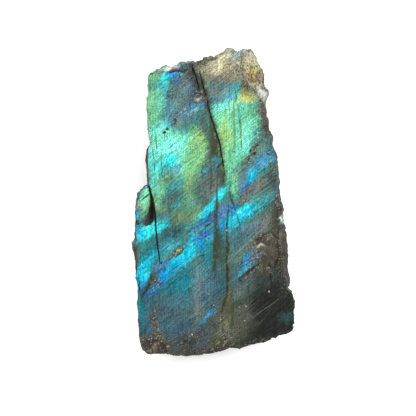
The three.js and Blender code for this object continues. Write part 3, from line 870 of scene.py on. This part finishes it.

# %% The marks of the broken rock, seen from above; the haze and cream on the chip at the right side are a painted highlight
ROCK = read_marks("""
leaf -32.9 47 20 2 92 5 90
jade -27.9 65.5 6 2 12 6 85
rust -32.9 15.9 7 1.5 92 6 80
soot -32.7 27 2 1.5 70 6 90
rust -38.4 1.9 3.5 2 80 6 80
cream -38.2 -2.1 1.2 .8 0 6 80
soot -38.9 -10.1 2 2.5 90 6 80
tan -38.9 -20.6 2 .8 90 6 80
teal -40.4 -22.1 3 .6 90 6 80
teal -40.4 -21.9 2.5 .9 90 5 90
umber -39.9 -27.1 3.5 1.5 92 6 80
oat -23.9 67.3 4.5 1.5 0 7 80
mauve -24.4 65.2 2.5 .5 0 5 80
sky -17.9 67 2 2 60 6 80
lagoon -13.8 67 2.5 2 0 6 85
haze -16.9 67.8 1.2 .6 20 7 80
haze -13.3 69.2 1.2 .5 10 7 70
jade -15.9 69.3 2.5 .8 0 6 70
rush -6.3 70 4 2.5 20 6 90
sand 5.2 74 7 3 20 6 85
slate 11.7 74 2 2 0 6 70
haze 15.3 75.3 3.5 1.5 0 6 85
brass 19.3 66 8.5 4.5 95 7 85
amber 21.3 64 5 1.2 95 9 60
taupe 18.3 68 4 .8 95 9 50
straw 21.3 68 4.5 2 95 9 60
sand 15.8 67 7 1.5 95 9 70
sand 16.3 70.5 2.5 3.5 95 9 75
mauve 15.8 73.3 1.5 1.2 0 7 80
oat 20.3 71 4.5 3.5 0 8 90
sand 18.8 75 2.5 1.5 0 9 80
gold 19.6 62.3 2.2 .8 95 9 90
mauve 22.8 62 4 1.3 95 7 70
hay 24.3 63 6 1 95 7 70
cream 20.3 58 3 1.5 0 7 80
chalk 24.3 54.5 4 3 100 7 95
chip 25.6 53.5 1.5 1.5 0 8 80
oat 24.8 50.5 2 1.5 0 8 70
umber 25.8 46 3 2 80 7 90
loam 26.3 37 9 2.5 104 6 90
tan 33.8 -17.1 2 1 90 8 60
soot 34.3 -2.6 3 2 90 6 90
haze 33.8 -8.3 3 1.5 92 7 80
cream 33.3 -8.1 .7 .7 0 4 90
soot 34.8 -13.1 2 2 90 6 90
rust 35.6 -18.1 4 1.5 92 6 90
soot 35.8 -30.1 5 1.5 92 9 80
loam 35.3 -24.1 7 3 92 6 92
rust 36.3 -22.1 2.5 .8 92 8 60
pitch 37.3 -37.6 7 3 92 6 95
brass 40.1 -51.1 3 1 92 6 90
cream 39.1 -59.7 2 1 60 6 80
hay 37.8 -64.7 3.5 1 10 6 80
umber 18.3 -69.7 15 1.2 16 6 90
umber -16.9 -75.2 13 1.5 0 6 90
loam 2.2 -74.2 13 1.5 6 8 90
loam -28.9 -71.7 6 4.5 0 7 90
tan -30.9 -73.2 2.5 1 20 9 70
tan -26.9 -70.2 2 1 60 9 60
drab 26.8 -25.1 7 5.5 60 7 90
azure 21.3 -28.1 2.5 1.7 50 9 40
tide 21.8 -23.1 2 3.5 90 9 50
taupe 29.3 -22.1 3 3 90 8 50
rush 27.3 -17.6 2.5 1.3 20 8 60
cream 22.8 -21.6 2 1 10 5 90
sea_low -17.9 -24.1 4.5 2 40 8 90
straw -17.4 -24.1 3 .5 42 8 80
navy -7.8 51.5 3.5 2 30 8 80
oat -7.3 51.5 2.5 .7 40 8 80
hay 15.8 .4 3 1 20 8 85
umber 17.3 -35.1 5 1 38 7 95
""")
print("marks on the rim", len(ROCK))

# %% Clean breaks without crumbs: the deep hollow at the left, whose dark wall is painted shade, the fresh pale chips, and a painted highlight on the chip at the right side
SMOOTH_BREAKS_AND_PAINTED_LIGHT = read_marks("""
cream 21.3 57 2.5 1 10 9 70
chip 24.3 56 1.5 1.2 30 8 70
drab 27.8 -25.6 6.5 4.5 70 9 50
taupe 29.3 -21.6 2.5 2 0 9 60
loam 18.3 -69.7 15 1.2 16 9 50
pitch 36.6 -35.1 10 2.2 92 8 90
soot 36.3 -27.1 13 1.3 94 9 70
soot -39.6 -35.1 13 1.2 90 9 70
aqua -39.2 -38.1 2 .5 92 8 80
loam 35.6 -25.1 7 1.7 92 9 60
night -28.1 -21.1 10 1.3 94 8 80
soot -30.2 -1.6 9 2.3 97 6 97
bog -32.4 -8.9 3 2.5 30 7 90
soot -30.4 -7.1 3 1.3 92 8 90
petrol -35.2 -8.6 1.5 1.5 0 9 80
grass -33.6 -3.6 4.5 1.2 78 8 85
chip -22.9 66.3 4.5 1.5 2 8 100
chip -17.9 67.3 1.5 .6 10 8 70
chalk -20.9 67.2 2 .7 0 8 90
foam -25.4 66.5 2 .5 0 8 70
sedge -26.9 65.5 1.5 .7 0 8 70
chalk 25.1 54.5 1.7 2 0 8 80
mist 33.8 -8.3 2.7 1 92 7 75
slate 33.9 -8.9 .9 .6 0 8 90
cream 33.1 -8.1 .8 .8 0 5 90
""")
print("clean breaks", len(SMOOTH_BREAKS_AND_PAINTED_LIGHT))

# %% [markdown]
# The layers lie in the stone, so the flash belongs to the surface of the polished face. It is laid on the
# points of the face as a colour, mark over mark. Two copies are laid, one a little further along the slant
# than the other, and the material later weaves them together with fine scratches, which frays every edge.

# %% How far the marks stray at a place
SLANT = 38  # direction of the bands and of most scratches, degrees
SLANT_WAY = Vector((math.cos(math.radians(SLANT)), math.sin(math.radians(SLANT)), 0))
SLANT_SIDE = Vector((-SLANT_WAY.y, SLANT_WAY.x, 0))
DRIFT, DROOP, FUZZ, SWAY = 1.5, 1.3, 0.7, 1.2  # the reach of each way of straying, mm


def ripple(spot):
    """Noise with a finer one half as strong on top."""
    return noise.noise(spot) + 0.5 * noise.noise(spot * 2.1)


def wander(spot):
    """How far the marks stray at a place, in mm: along the slant, up and down, and anyhow."""
    drift = ripple(Vector((spot.dot(SLANT_WAY) / 8, spot.dot(SLANT_SIDE) / 1.3, 3)))
    droop = ripple(Vector((spot.x / 1.4, spot.y / 9, 8)))
    fuzz = noise.noise_vector(spot / 2.3) * FUZZ + noise.noise_vector(spot / 5.5) * SWAY
    return SLANT_WAY * drift * DRIFT + Vector((0, DROOP, 0)) * droop + fuzz


spots = [Vector((v.co.x / MM, v.co.y / MM, 0)) for v in skin.vertices]
strayed = np.array([spot + wander(spot) for spot in spots])
print("marks stray up to", round(float(np.abs(strayed - np.array(spots)).max()), 1), "mm")

# %% Laying the marks on the points of the face
WEAVE = 0.9  # how far the two copies of the flash lie from the middle, mm
FADE_START, FADE_END = -0.05, 0.4  # the rim's marks show as the rock's normal rises from one to the other


def laid(places, marks, ground):
    """The colours at places in mm under every mark, and as alpha how far the marks cover the ground."""
    colours = np.tile(np.array((*tint(ground)[:3], 0.0)), (len(places), 1))
    for name, x, y, length, width, angle, feather, strength in marks:
        turn = math.radians(angle)
        dx, dy = places[:, 0] - x, places[:, 1] - y
        along = (dx * math.cos(turn) + dy * math.sin(turn)) / length
        across = (dy * math.cos(turn) - dx * math.sin(turn)) / width
        inside = np.clip((1 + feather - np.hypot(along, across)) / (2 * feather), 0, 1)
        amount = strength * (inside * inside * (3 - 2 * inside))
        colours += (np.array(tint(name)) - colours) * amount[:, None]
    return colours


rises = np.array([v.normal.z - FADE_START for v in skin.vertices])
turned_up = np.clip(rises / (FADE_END - FADE_START), 0, 1)
for name, shift, marks, ground, fade in [
    ("flash_near", -WEAVE, FLASH, "sea", 1),
    ("flash_far", WEAVE, FLASH, "sea", 1),
    ("crumble", 0, CRUMBLE, "black", 1),
    ("rim_marks", 0, ROCK, "umber", turned_up),
    ("clean_breaks_and_painted_light", 0, SMOOTH_BREAKS_AND_PAINTED_LIGHT, "umber", turned_up),
]:
    colours = laid(strayed + np.array(SLANT_WAY) * shift, marks, ground)
    colours[:, 3] *= fade
    skin.attributes.new(name, "FLOAT_COLOR", "POINT").data.foreach_set("color", colours.ravel())
print("points coloured", len(spots))

# %% [markdown]
# ## Seams and pits
# Old cracks run down the slab, healed and stained brown, and grinding has opened small pits along the bands.
# A seam is worked out in the material, where it stays crisp however far apart the points of the mesh are: one
# curve says how far to the side its middle lies at each height, and a second how wide it is there.

# %% How a table of places is written
def read_places(text):
    """The places of a table, with a comma between them: three numbers each."""
    return [tuple(map(float, place.split())) for place in text.split(",")]


# %% The seams: name, colour, feather and strength in percent, then y, x and half width from top to bottom
def read_seam(text):
    """A seam's colour, feather, strength and places."""
    head, places = text.split(":")
    _, colour, feather, strength = head.split()
    return colour, float(feather) / 100, float(strength) / 100, read_places(places)


SEAMS = [read_seam(text) for text in """
left_crack soot 60 95:
8.9 -32.62 .1, 7.9 -32.42 .6, 5.9 -31.41 .8, 3.4 -31.41 .85, .9 -30.66 .8, -1.6 -29.91 .75,
-5.1 -29.41 .55, -9.1 -29.1 .05;
left_fine night 80 90:
-7.1 -29.2 .05, -10.1 -29.15 .25, -14.1 -28.8 .25, -16.6 -28.4 .45, -20.6 -28.15 .35,
-24.1 -27.65 .25, -28.1 -27.1 .25, -31.1 -26.8 .05;
upper_halo umber 90 60:
71 -11.84 .5, 68 -11.34 1.25, 64.5 -10.59 2.5, 61 -9.33 2.5, 57.5 -7.33 2.25, 54 -5.82 1.5,
51 -4.32 .05;
upper_strand soot 70 85:
71 -11.84 .2, 68.5 -11.34 .6, 66 -10.59 .8, 63 -9.33 1, 61 -8.58 1, 57.5 -7.83 .9, 54.5 -6.82 .45,
52.5 -5.82 .05;
long_halo umber 90 75:
65 -6.82 .05, 59 -5.32 1.25, 54 -4.06 1.5, 48 -2.81 1.2, 43 -1.51 1.2, 38 -.3 1.7, 33 1 2.2,
28 1.71 2.7, 24 2.21 2.5, 20 3.51 1.7, 14.9 4.52 1.5, 9.9 4.52 1, 6.9 4.22 .05;
long_strand soot 80 80:
66 -7.08 .05, 62.5 -6.57 .4, 60 -5.82 .6, 57 -5.07 .75, 54 -4.32 .75, 51 -3.56 .65, 48 -2.81 .55,
44 -1.81 .55, 40 -.55 .65, 36 .6 .55, 32 1.71 .45, 28 2.61 .35, 25 3.21 .35, 21 4.11 .45,
17.4 4.72 .5, 13.4 5.12 .45, 8.9 5.02 .05;
wedge_left peat 90 80:
43 -1.81 .05, 37 -1.41 .6, 31 -1.2 .7, 26 -1.05 .9, 22 -1.3 .8, 18 -1.3 .7, 11.9 -1.3 .65,
4.9 -1.51 .05;
olive_seam seam_green 90 90:
55.5 10.94 .05, 52 10.84 .5, 49 10.24 .55, 43.5 9.94 .6, 38.5 10.14 .6, 33.5 10.24 .65,
27 10.44 .05;
brown_seam seam_brown 80 90:
56 10.74 .05, 52.5 11.14 .45, 49.5 11.49 .5, 46.5 12.14 .5, 42 12.7 .5, 37.5 13.3 .45,
33.5 13.55 .4, 29.5 13.75 .35, 24 14.25 .05;
middle_halo vein 95 85:
2.9 1.56 .05, -4.1 1.3 1, -10.1 1 1.3, -16.1 1.41 1.5, -21.1 1.41 2.2, -26.1 1.1 2.3,
-30.1 .7 1.7, -35.1 -.3 .05;
middle_seam vein 80 90:
12.9 1.86 .05, 5.9 1.61 .35, 1.9 1.56 .5, -2.1 1.46 .65, -9.1 .85 .7, -13.6 1.41 .7,
-18.1 1.35 .75, -23.1 .7 .8, -28.1 .4 .8, -33.1 .2 .05;
slanting_seam vein 70 90:
7.9 8.08 .05, 3.9 8.08 .5, .9 8.98 .55, -1.6 9.84 .5, -6.1 11.59 .4, -10.6 12.7 .35,
-15.1 13.5 .25, -20.1 14.25 .05;
long_dark seam_olive 95 60:
-15.1 6.52 .05, -21.1 6.82 .9, -28.1 6.67 1.1, -34.1 7.23 1.3, -40.1 7.53 1.4, -46.1 7.53 1.3,
-51.1 6.92 1, -57.2 7.23 .6, -64.2 8.23 .05;
long_seam seam_black 70 90:
-.6 7.73 .05, -5.1 7.23 .35, -8.6 6.92 .45, -14.1 6.52 .4, -18.1 6.62 .5, -23.1 6.87 .75,
-29.1 6.42 .6, -34.6 6.98 .75, -40.1 6.87 .65, -45.6 6.42 .65, -49.1 5.62 .65, -53.1 3.96 .05;
olive_tail vein 95 60:
-43.1 8.93 .05, -47.6 9.03 .65, -54.7 9.38 .8, -60.2 9.18 .65, -66.2 8.73 .05;
tail_left vein 95 60:
-47.1 6.22 .05, -51.1 4.92 .8, -55.2 3.91 .6, -59.2 3.21 .05;
faint_seam petrol 70 70:
-4.1 8.73 .05, -9.1 8.83 .25, -16.1 8.88 .25, -21.1 8.93 .05;
thin_seam fjord 80 70:
-8.1 -8.33 .05, -13.1 -8.83 .3, -19.1 -9.03 .3, -25.1 -8.58 .3, -32.1 -8.63 .05;
lower_crack soot 80 85:
-31.1 -31.31 .05, -34.1 -31.21 .35, -37.1 -31.21 .45, -39.6 -31.61 .5, -42.1 -32.62 1.1,
-44.1 -33.62 .9, -46.6 -35.13 .6, -49.1 -35.93 .05;
lower_hairline ink 80 80:
-46.1 -30.41 .05, -49.1 -30.21 .25, -53.1 -30.21 .25, -57.2 -30.61 .05;
left_hairline soot 70 80:
-39.1 -37.13 .05, -42.1 -36.73 .25, -46.1 -36.43 .05;
right_hairline soot 70 90:
-34.1 28 .05, -37.1 28.3 .4, -40.6 28.7 .4, -45.1 29 .05;
corner_hairline soot 70 90:
-49.1 30.51 .05, -54.2 30.61 .35, -59.2 30.71 .45, -65.2 30.51 .05;
flank_halo umber 95 80:
2.9 32.01 .05, -4.1 31.51 1.5, -12.1 31.61 1.8, -19.1 32.82 1.3, -28.1 33.62 1.5, -37.1 33.82 .05;
flank_seam soot 70 80:
.9 32.82 .05, -3.1 32.32 .45, -7.1 32.01 .6, -13.1 32.32 .6, -19.1 32.82 .5, -26.6 32.82 .45,
-32.1 33.02 .4, -37.1 33.32 .05
""".split(";")]
print("seams", len(SEAMS))

# %% Single scratches and threads
SCRATCHES = read_marks("""
mist 14.3 -22.9 14 .23 44 30
mist 25.5 -53.1 8.8 .2 35 16
mist 11.2 -37.6 7.5 .2 37 14
soot -19.8 -39.7 5.2 .2 41 80
soot -16.6 -40.6 6.2 .15 40 50
soot -23.9 -38.5 4 .15 41 50
ink -33.9 2.3 2.9 .45 40 95
soot -36.9 -43.1 2.5 .25 98 80
ink -28.5 29.7 4.8 .3 94 75
ink -25.8 18 7 .25 93 70
ink -26.8 12.9 5 .25 94 60
ink -24.4 11.4 5.5 .23 92 50
ink -30.9 30 4 .23 94 50
ink -23 18.5 3.5 .2 92 40
ink -29.7 21 6 .25 95 60
soot 13.2 -39 1.2 .4 149 90
soot 18 -34.9 5.7 .3 41 80
ink -32.2 -27.1 4.4 .25 43 60
ink -32.2 -29.6 5.5 .2 39 60
ink -33.9 -24.8 3.8 .2 38 60
ink -30.4 -37.5 4.7 .2 41 50
ink -18.1 -25.4 7.9 .2 37 40
ink -15.6 -30.1 8.7 .2 39 60
ink -13.8 -36.1 6.4 .25 39 50
ink 18.3 22 7.8 .2 40 50
ink 12.7 14.4 4.3 .2 35 40
ink 24.8 7.2 7 .25 38 50
ink 24 4.2 9 .2 36 40
sage 24 4.9 7 .25 35 60
sage 24.3 7.4 5 .2 37 50
mist 10 -4.6 3.1 .2 151 20
soot -2.8 -11.6 1.7 .4 28 90
""", feather="6")
print("single scratches", len(SCRATCHES))

# %% The pits, whose dark dots are painted shade, and the bright specks, which are painted highlights: x, y and radius
PITS_WITH_PAINTED_SHADE = read_places("""
-21.4 54.7 .4, -20.5 53.5 .35, -22.7 52.3 .4, -6.5 52.5 .4, -8.8 50.5 .35, -24.5 34.6 .65,
-24.9 34 .4, -23 36.1 .6, -21.3 59.7 .5, -19 40.8 .55, -19.3 38.8 .55, -18.8 39.8 .4,
-12.1 48.5 .5, -23.1 54.5 .5, -12.9 61.3 .45, -10.8 61.5 .4, -4.3 67.5 .4, 12.4 64.7 .3,
21.6 28 .5, 20.5 24.3 .65, 20.1 23.6 .6, 18.3 25.5 .5, 19.5 27.2 .5, 17.8 22.5 .45, 21 26.7 .4,
17.4 21.3 .45, 17 19.7 .35, 27.1 23.7 .45, 27.7 25.5 .35, 25.2 16.6 .25, -3 -11.7 .55,
-3.8 -12 .4, -2.1 -11.4 .4, -2.7 -14.7 .4, -4.1 -15.6 .3, -1.9 -18 .35, -2.6 -18.3 .3,
-3.6 -17 .25, -26.1 -30.5 .5, -25.5 -29.9 .35, -36.8 -59.8 .5, -15.2 -70.7 .45, -13.8 -68.9 .6,
-14.7 -69.4 .4, -5.3 -26.6 .5, -4.4 -26.3 .4, -6.1 -26.8 .35, 5.7 -68.5 .5, 8.9 -71.7 .4,
-31.4 22.2 .4, -.7 -61.5 .35, 2.2 -60.2 .3, 12.4 -56.7 .3
""")
GLINT_HIGHLIGHTS = read_places("""
21.5 37.4 .35, 21.9 34.4 .45, 22.1 31.9 .4, 6.5 -14.2 .4, 25.2 -28.8 .4, 32.5 0 .35,
-10.7 -66 .45, 16.2 -51.9 .4, 15.5 -58.9 .3, 3.7 -58.4 .3, 27.5 -44.6 .45, 12.7 -52.3 .25,
-2.5 -45.9 .25, .1 -51.4 .3, 18.5 57.2 .35, 17.5 19.5 .3
""")
print("pits", len(PITS_WITH_PAINTED_SHADE), "bright specks", len(GLINT_HIGHLIGHTS))


# %% Seams, scratches and dots as amounts from 0 to 1
SPARE = 0.1  # room beside the curve of a seam, mm


def curve(wire, pairs):
    """A smooth curve through pairs of numbers between 0 and 1."""
    drawn = wire.node("ShaderNodeFloatCurve", {}, {"Value": wire})
    mapping = drawn.socket.node.mapping
    mapping.extend = "HORIZONTAL"
    points = mapping.curves[0].points
    points[0].location = pairs[0]
    points[1].location = pairs[-1]
    for pair in pairs[1:-1]:
        points.new(*pair)
    mapping.update()
    return drawn


def seam(spot, places, feather, swell):
    """1 in the middle of a wandering seam, 0 beside it."""
    x, y, _ = spot.parts()
    heights, middles, widths = zip(*places)
    top, bottom = heights[0], heights[-1]
    left, right = min(middles) - SPARE, max(middles) + SPARE
    widest = max(widths)
    down = (top - y) / (top - bottom)
    steps = [(top - height) / (top - bottom) for height in heights]
    shares = [(middle - left) / (right - left) for middle in middles]
    middle = left + (right - left) * curve(down, list(zip(steps, shares)))
    width = widest * curve(down, [(step, width / widest) for step, width in zip(steps, widths)])
    off = (x - middle).sum("ABSOLUTE", x - middle) / (width * swell)
    return off.ease(1 + feather, 1 - feather)


def scratch(spot, x, y, length, width, angle, feather, strength):
    """The strength of a scratch along it, 0 beside it."""
    reach = spot.along(x, y, length, width, angle).vector("LENGTH", out="Value")
    return reach.ease(1 + feather, 1 - feather, 0, strength)


def dots(spot, places):
    """1 in the middle of each dot, 0 beside it."""
    nearest = None
    for x, y, radius in places:
        away = spot.vector("DISTANCE", (x, y, 0), out="Value") / radius
        nearest = away if nearest is None else nearest.sum("MINIMUM", nearest, away)
    return nearest.ease(1.25, 0.55)


# %% [markdown]
# ## The polished face
# The face was lapped on coarse wheels and only half polished: fine scratches run across it on a slant, the
# layers of the feldspar show as upright threads, and the shine is broken by both. The same noises lighten and
# darken the colour, dull the shine and dent the surface, so that all three tell of one scratch. Modelled
# scratches would need millions of triangles.

# %% The polished face
LEVEL = 0.66  # how much of a marked colour the stone gives back


def polished_face():
    material, shader, spot = new_material("polished_face", shine=0.12)
    flat = spot.vector("MULTIPLY", (1, 1, 0))
    weave = flat.grain(9, 0.35, SLANT, 3, 11).ease(0.4, 0.6)
    colour = flat.attribute("flash_near").over(flat.attribute("flash_far"), weave)

    threads = flat.swing(10, 0.4, 92, 3, 3)
    scratches = flat.swing(12, 0.36, SLANT, 3, 4)
    mottle = flat.swing(1.3, 1.0, 60, 3, 5)
    cloud = flat.swing(5, 3, 60, 3, 6)
    speck = flat.swing(0.55, 0.42, 60, 2, 16)
    graded = {
        "Hue": 0.49 + flat.swing(2.2, 1.0, SLANT, 4, 7) * 0.12,
        "Saturation": 1.03 + flat.swing(1.8, 1.0, 70, 4, 8) * 0.9,
        "Value": 1.0 + mottle * 1.7 + scratches * 2.1 + threads * 1.6 + cloud * 0.9 + speck * 2.9,
        "Color": colour,
    }
    colour = colour.node("ShaderNodeHueSaturation", {}, graded)
    lines = flat.grain(11, 0.3, SLANT + 1, 2, 9).ease(0.56, 0.68)
    hairs = flat.grain(15, 0.16, SLANT + 6, 2, 10).ease(0.64, 0.74)
    colour = colour.under(ink=lines * 0.6, mist=hairs * 0.3)

    wavering = flat.fuzz(1.6, 2, (1.3, 0.6, 0))
    uneven = flat.grain(2.4, 0.9, 92, 3, 12).ease(0.3, 0.6, 0.3, 1.0)
    swell = 0.65 + flat.grain(3.0, 1.0, 92, 2, 17) * 0.7
    for name, feather, strength, places in SEAMS:
        amount = seam(wavering, places, feather, swell) * uneven
        colour = colour.over(tint(name), amount * strength)
    for name, *measures in SCRATCHES:
        colour = colour.over(tint(name), scratch(wavering, *measures))

    ruin = flat.attribute("crumble", "Fac")
    clods = flat.grain(1.5, 0.9, 50, 4, 13)
    colour = colour.under(
        umber=ruin * clods.ease(0.62, 0.42) * 0.8,
        soot=ruin * flat.grain(1.1, 0.6, 45, 3, 14).ease(0.56, 0.66),
        cream=ruin * flat.grain(1.0, 0.5, 40, 3, 15).ease(0.6, 0.7) * 0.8,
        mist=ruin * flat.grain(2.0, 1.1, 30, 3, 18).ease(0.6, 0.66) * 0.5,
    )
    # the soot dots paint the shade inside the pits, and the cream dots paint highlights on the face
    colour = colour.under(soot=dots(wavering, PITS_WITH_PAINTED_SHADE) * 0.85, cream=dots(wavering, GLINT_HIGHLIGHTS) * 0.7)

    dull = 0.36 + scratches * 0.15 + mottle * 0.15 + ruin * 0.3
    height = scratches * 0.5 + threads * 0.3 + mottle * 0.2 - lines * 0.4 + ruin * clods * 3
    feed(shader, colour.scaled(LEVEL), dull, height, strength=0.35, depth=0.06)
    return material


# %% [markdown]
# ## Broken rock
# The rim, the hollow and the pits were never ground. Broken feldspar is dull brown and grey, in blocks that
# part along its cleavage, a few of them stained by iron or showing a little of the flash. Near the polished
# face there are crumbs of pale fresh stone, where it was chipped last. The blocks are cells of noise, each of
# one tone, because the rock parts along planes and so changes colour in steps, where plain noise would blur.

# %% The broken rock
FRESH_FROM, FRESH_TO = 15, 22  # heights between which the rock begins to look freshly chipped, mm


def broken_rock():
    material, shader, spot = new_material("broken_rock", shine=0.35)
    x, y, z = spot.parts()
    blocks = {"Vector": spot.fuzz(1.3, 3, (1.5, 1.5, 1.5)).along(4, 7, 8, 4, 25), "Scale": 1.0}
    cells = spot.node("ShaderNodeTexVoronoi", {"distance": "MANHATTAN"}, blocks, "Color")
    tone, glow, rusting = cells.parts()
    stain = spot.grain(7, 5, 20, 4, 3)
    raw = spot.plain("umber").under(
        charcoal=stain.ease(0.42, 0.6),
        zinc=tone.ease(0.45, 0.95) * 0.35,
        dove=spot.grain(3, 2, 50, 4, 4).ease(0.52, 0.68) * 0.5,
        rust=rusting.ease(0.8, 0.9) * 0.25,
        lagoon=glow.ease(0.86, 0.92) * 0.25,
    )
    grit = spot.grain(0.8, 0.8, 0, 4, 5)
    crumbs = spot.grain(1.2, 0.7, 40, 3, 6).ease(0.59, 0.67)
    cracks = spot.grain(1.5, 0.7, 100, 3, 7).ease(0.48, 0.38)
    glitter = spot.grain(0.9, 0.6, 95, 3, 9)
    fresh = (z + stain * 14).ease(FRESH_FROM, FRESH_TO)
    golden = fresh * x.ease(8, 13) * y.ease(52, 58)  # only the corner at the top right
    colour = spot.attribute("rim_marks").laid_on(raw.scaled(0.64), fresh)
    colour = colour.under(
        amber=glitter.ease(0.56, 0.62) * golden * 0.65,
        rust=glitter.ease(0.43, 0.37) * golden * 0.55,
        cream=crumbs * (0.2 + fresh * 0.25),
        soot=cracks * (0.45 + fresh * 0.35),
    )
    # these marks hold the painted shade on the hollow's dark wall and a painted highlight on the chip at the
    # right, besides the colours of the chips
    colour = spot.attribute("clean_breaks_and_painted_light").laid_on(colour, fresh)
    colour = colour.scaled((0.02 + grit * 1.5 + tone * 0.35) * LEVEL)
    height = grit - cracks * 0.5 + tone * 0.7
    feed(shader, colour, 0.5 + grit * 0.4, height, strength=0.6, depth=0.3)
    return material


# %% [markdown]
# ## The sawn back
# The back is left as the saw cut it: flat and dull, with the arcs of the blade, and the same layers in the
# stone seen without their flash. The arcs are a sine of the distance from the blade's middle, which lies well
# off the slab, as a large saw leaves them.

# %% The sawn back
BLADE = (150, -190, 0)  # middle of the saw blade, mm


def sawn_back():
    material, shader, spot = new_material("sawn_back", shine=0.5)
    cloud = spot.grain(16, 9, 50, 4, 1)
    base = spot.plain("zinc").under(
        bog=cloud.ease(0.4, 0.62),
        umber=spot.grain(20, 2.5, 95, 4, 2).ease(0.55, 0.72) * 0.7,
    )
    away = spot.vector("DISTANCE", BLADE, out="Value")
    arcs = away.sum("SINE", away * 4.2 + cloud * 3)
    mottle = spot.grain(1.2, 1.0, 0, 3, 3)
    colour = base.scaled((0.7 + mottle * 0.5 + arcs * 0.05) * LEVEL)
    feed(shader, colour, 0.6 + mottle * 0.3, arcs * 0.5 + mottle, strength=0.4, depth=0.1)
    return material


# %% Dressing the stone
for finish in (polished_face, broken_rock, sawn_back):  # in the order of POLISHED, BROKEN and SAWN
    skin.materials.append(finish())
print("nodes", {material.name: len(material.node_tree.nodes) for material in skin.materials})
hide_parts(NODE)
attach(piece, "root")

# %% [markdown]
# ## Floor, light and camera
# A plain pale floor, soft light from large panels high on all sides, and a camera that looks straight down.
# The floor glows a little, so that it stays pale close to the stone. One bare lamp would do to see by, but
# its mirror image would burn out part of the half-polished face, which a large panel doesn't.

# %% Floor
FLOOR_SIZE = 3.0  # half its width, m
FLOOR_DROP = 0.2  # how far it lies below the back of the slab, mm
floor_mesh = bpy.data.meshes.new("floor")
ground = bmesh.new()
bmesh.ops.create_grid(ground, x_segments=1, y_segments=1, size=FLOOR_SIZE)
for v in ground.verts:
    v.co.z = -FLOOR_DROP * MM
ground.to_mesh(floor_mesh)
ground.free()
floor = place_object("floor", floor_mesh)
paper = bpy.data.materials.new("paper")
paper.use_nodes = True
settings = {
    "Base Color": (0.96, 0.96, 0.96, 1),
    "Roughness": 0.9,
    "Emission Color": (1, 1, 1, 1),
    "Emission Strength": 0.3,
}
for name, setting in settings.items():
    paper.node_tree.nodes["Principled BSDF"].inputs[name].default_value = setting
floor_mesh.materials.append(paper)
print("floor", 2 * FLOOR_SIZE, "m wide")

# %% Light
world = bpy.data.worlds.new("world")
bpy.context.scene.world = world
world.use_nodes = True
world.node_tree.nodes["Background"].inputs["Color"].default_value = (1, 1, 1, 1)
world.node_tree.nodes["Background"].inputs["Strength"].default_value = 0.25


def soft_light(name, place, size, power):
    """A round panel at a place in m, turned to the stone, of a width in m and a power in W."""
    lamp = bpy.data.lights.new(name, "AREA")
    lamp.shape = "DISK"
    lamp.size = size
    lamp.energy = power
    holder = place_object(name, lamp)
    holder.location = place
    holder.rotation_euler = (-Vector(place)).to_track_quat("-Z", "Y").to_euler()


soft_light("key", (1.0, 0.6, 0.95), size=0.9, power=31)
soft_light("fill", (-1.1, 0.5, 1.0), size=1.2, power=17)
soft_light("low", (-0.1, -1.3, 0.9), size=1.2, power=14)
print("lamps", len(bpy.data.lights))

# %% Camera
FRAME_WIDTH = 208 * MM  # width of the picture at the height that is looked at
AIM = Vector((-2.8, -3.1, 16)) * MM  # the middle of the picture
camera_data = bpy.data.cameras.new("camera")
camera_data.lens = 150
camera_data.sensor_width = 36
camera_data.clip_start = 0.01
camera = place_object("camera", camera_data)
distance = camera_data.lens / camera_data.sensor_width * FRAME_WIDTH
camera.location = AIM + Vector((0, 0, distance))
bpy.context.scene.camera = camera
bpy.context.scene.view_settings.view_transform = "Standard"
print(f"camera {distance:.2f} m above the stone")
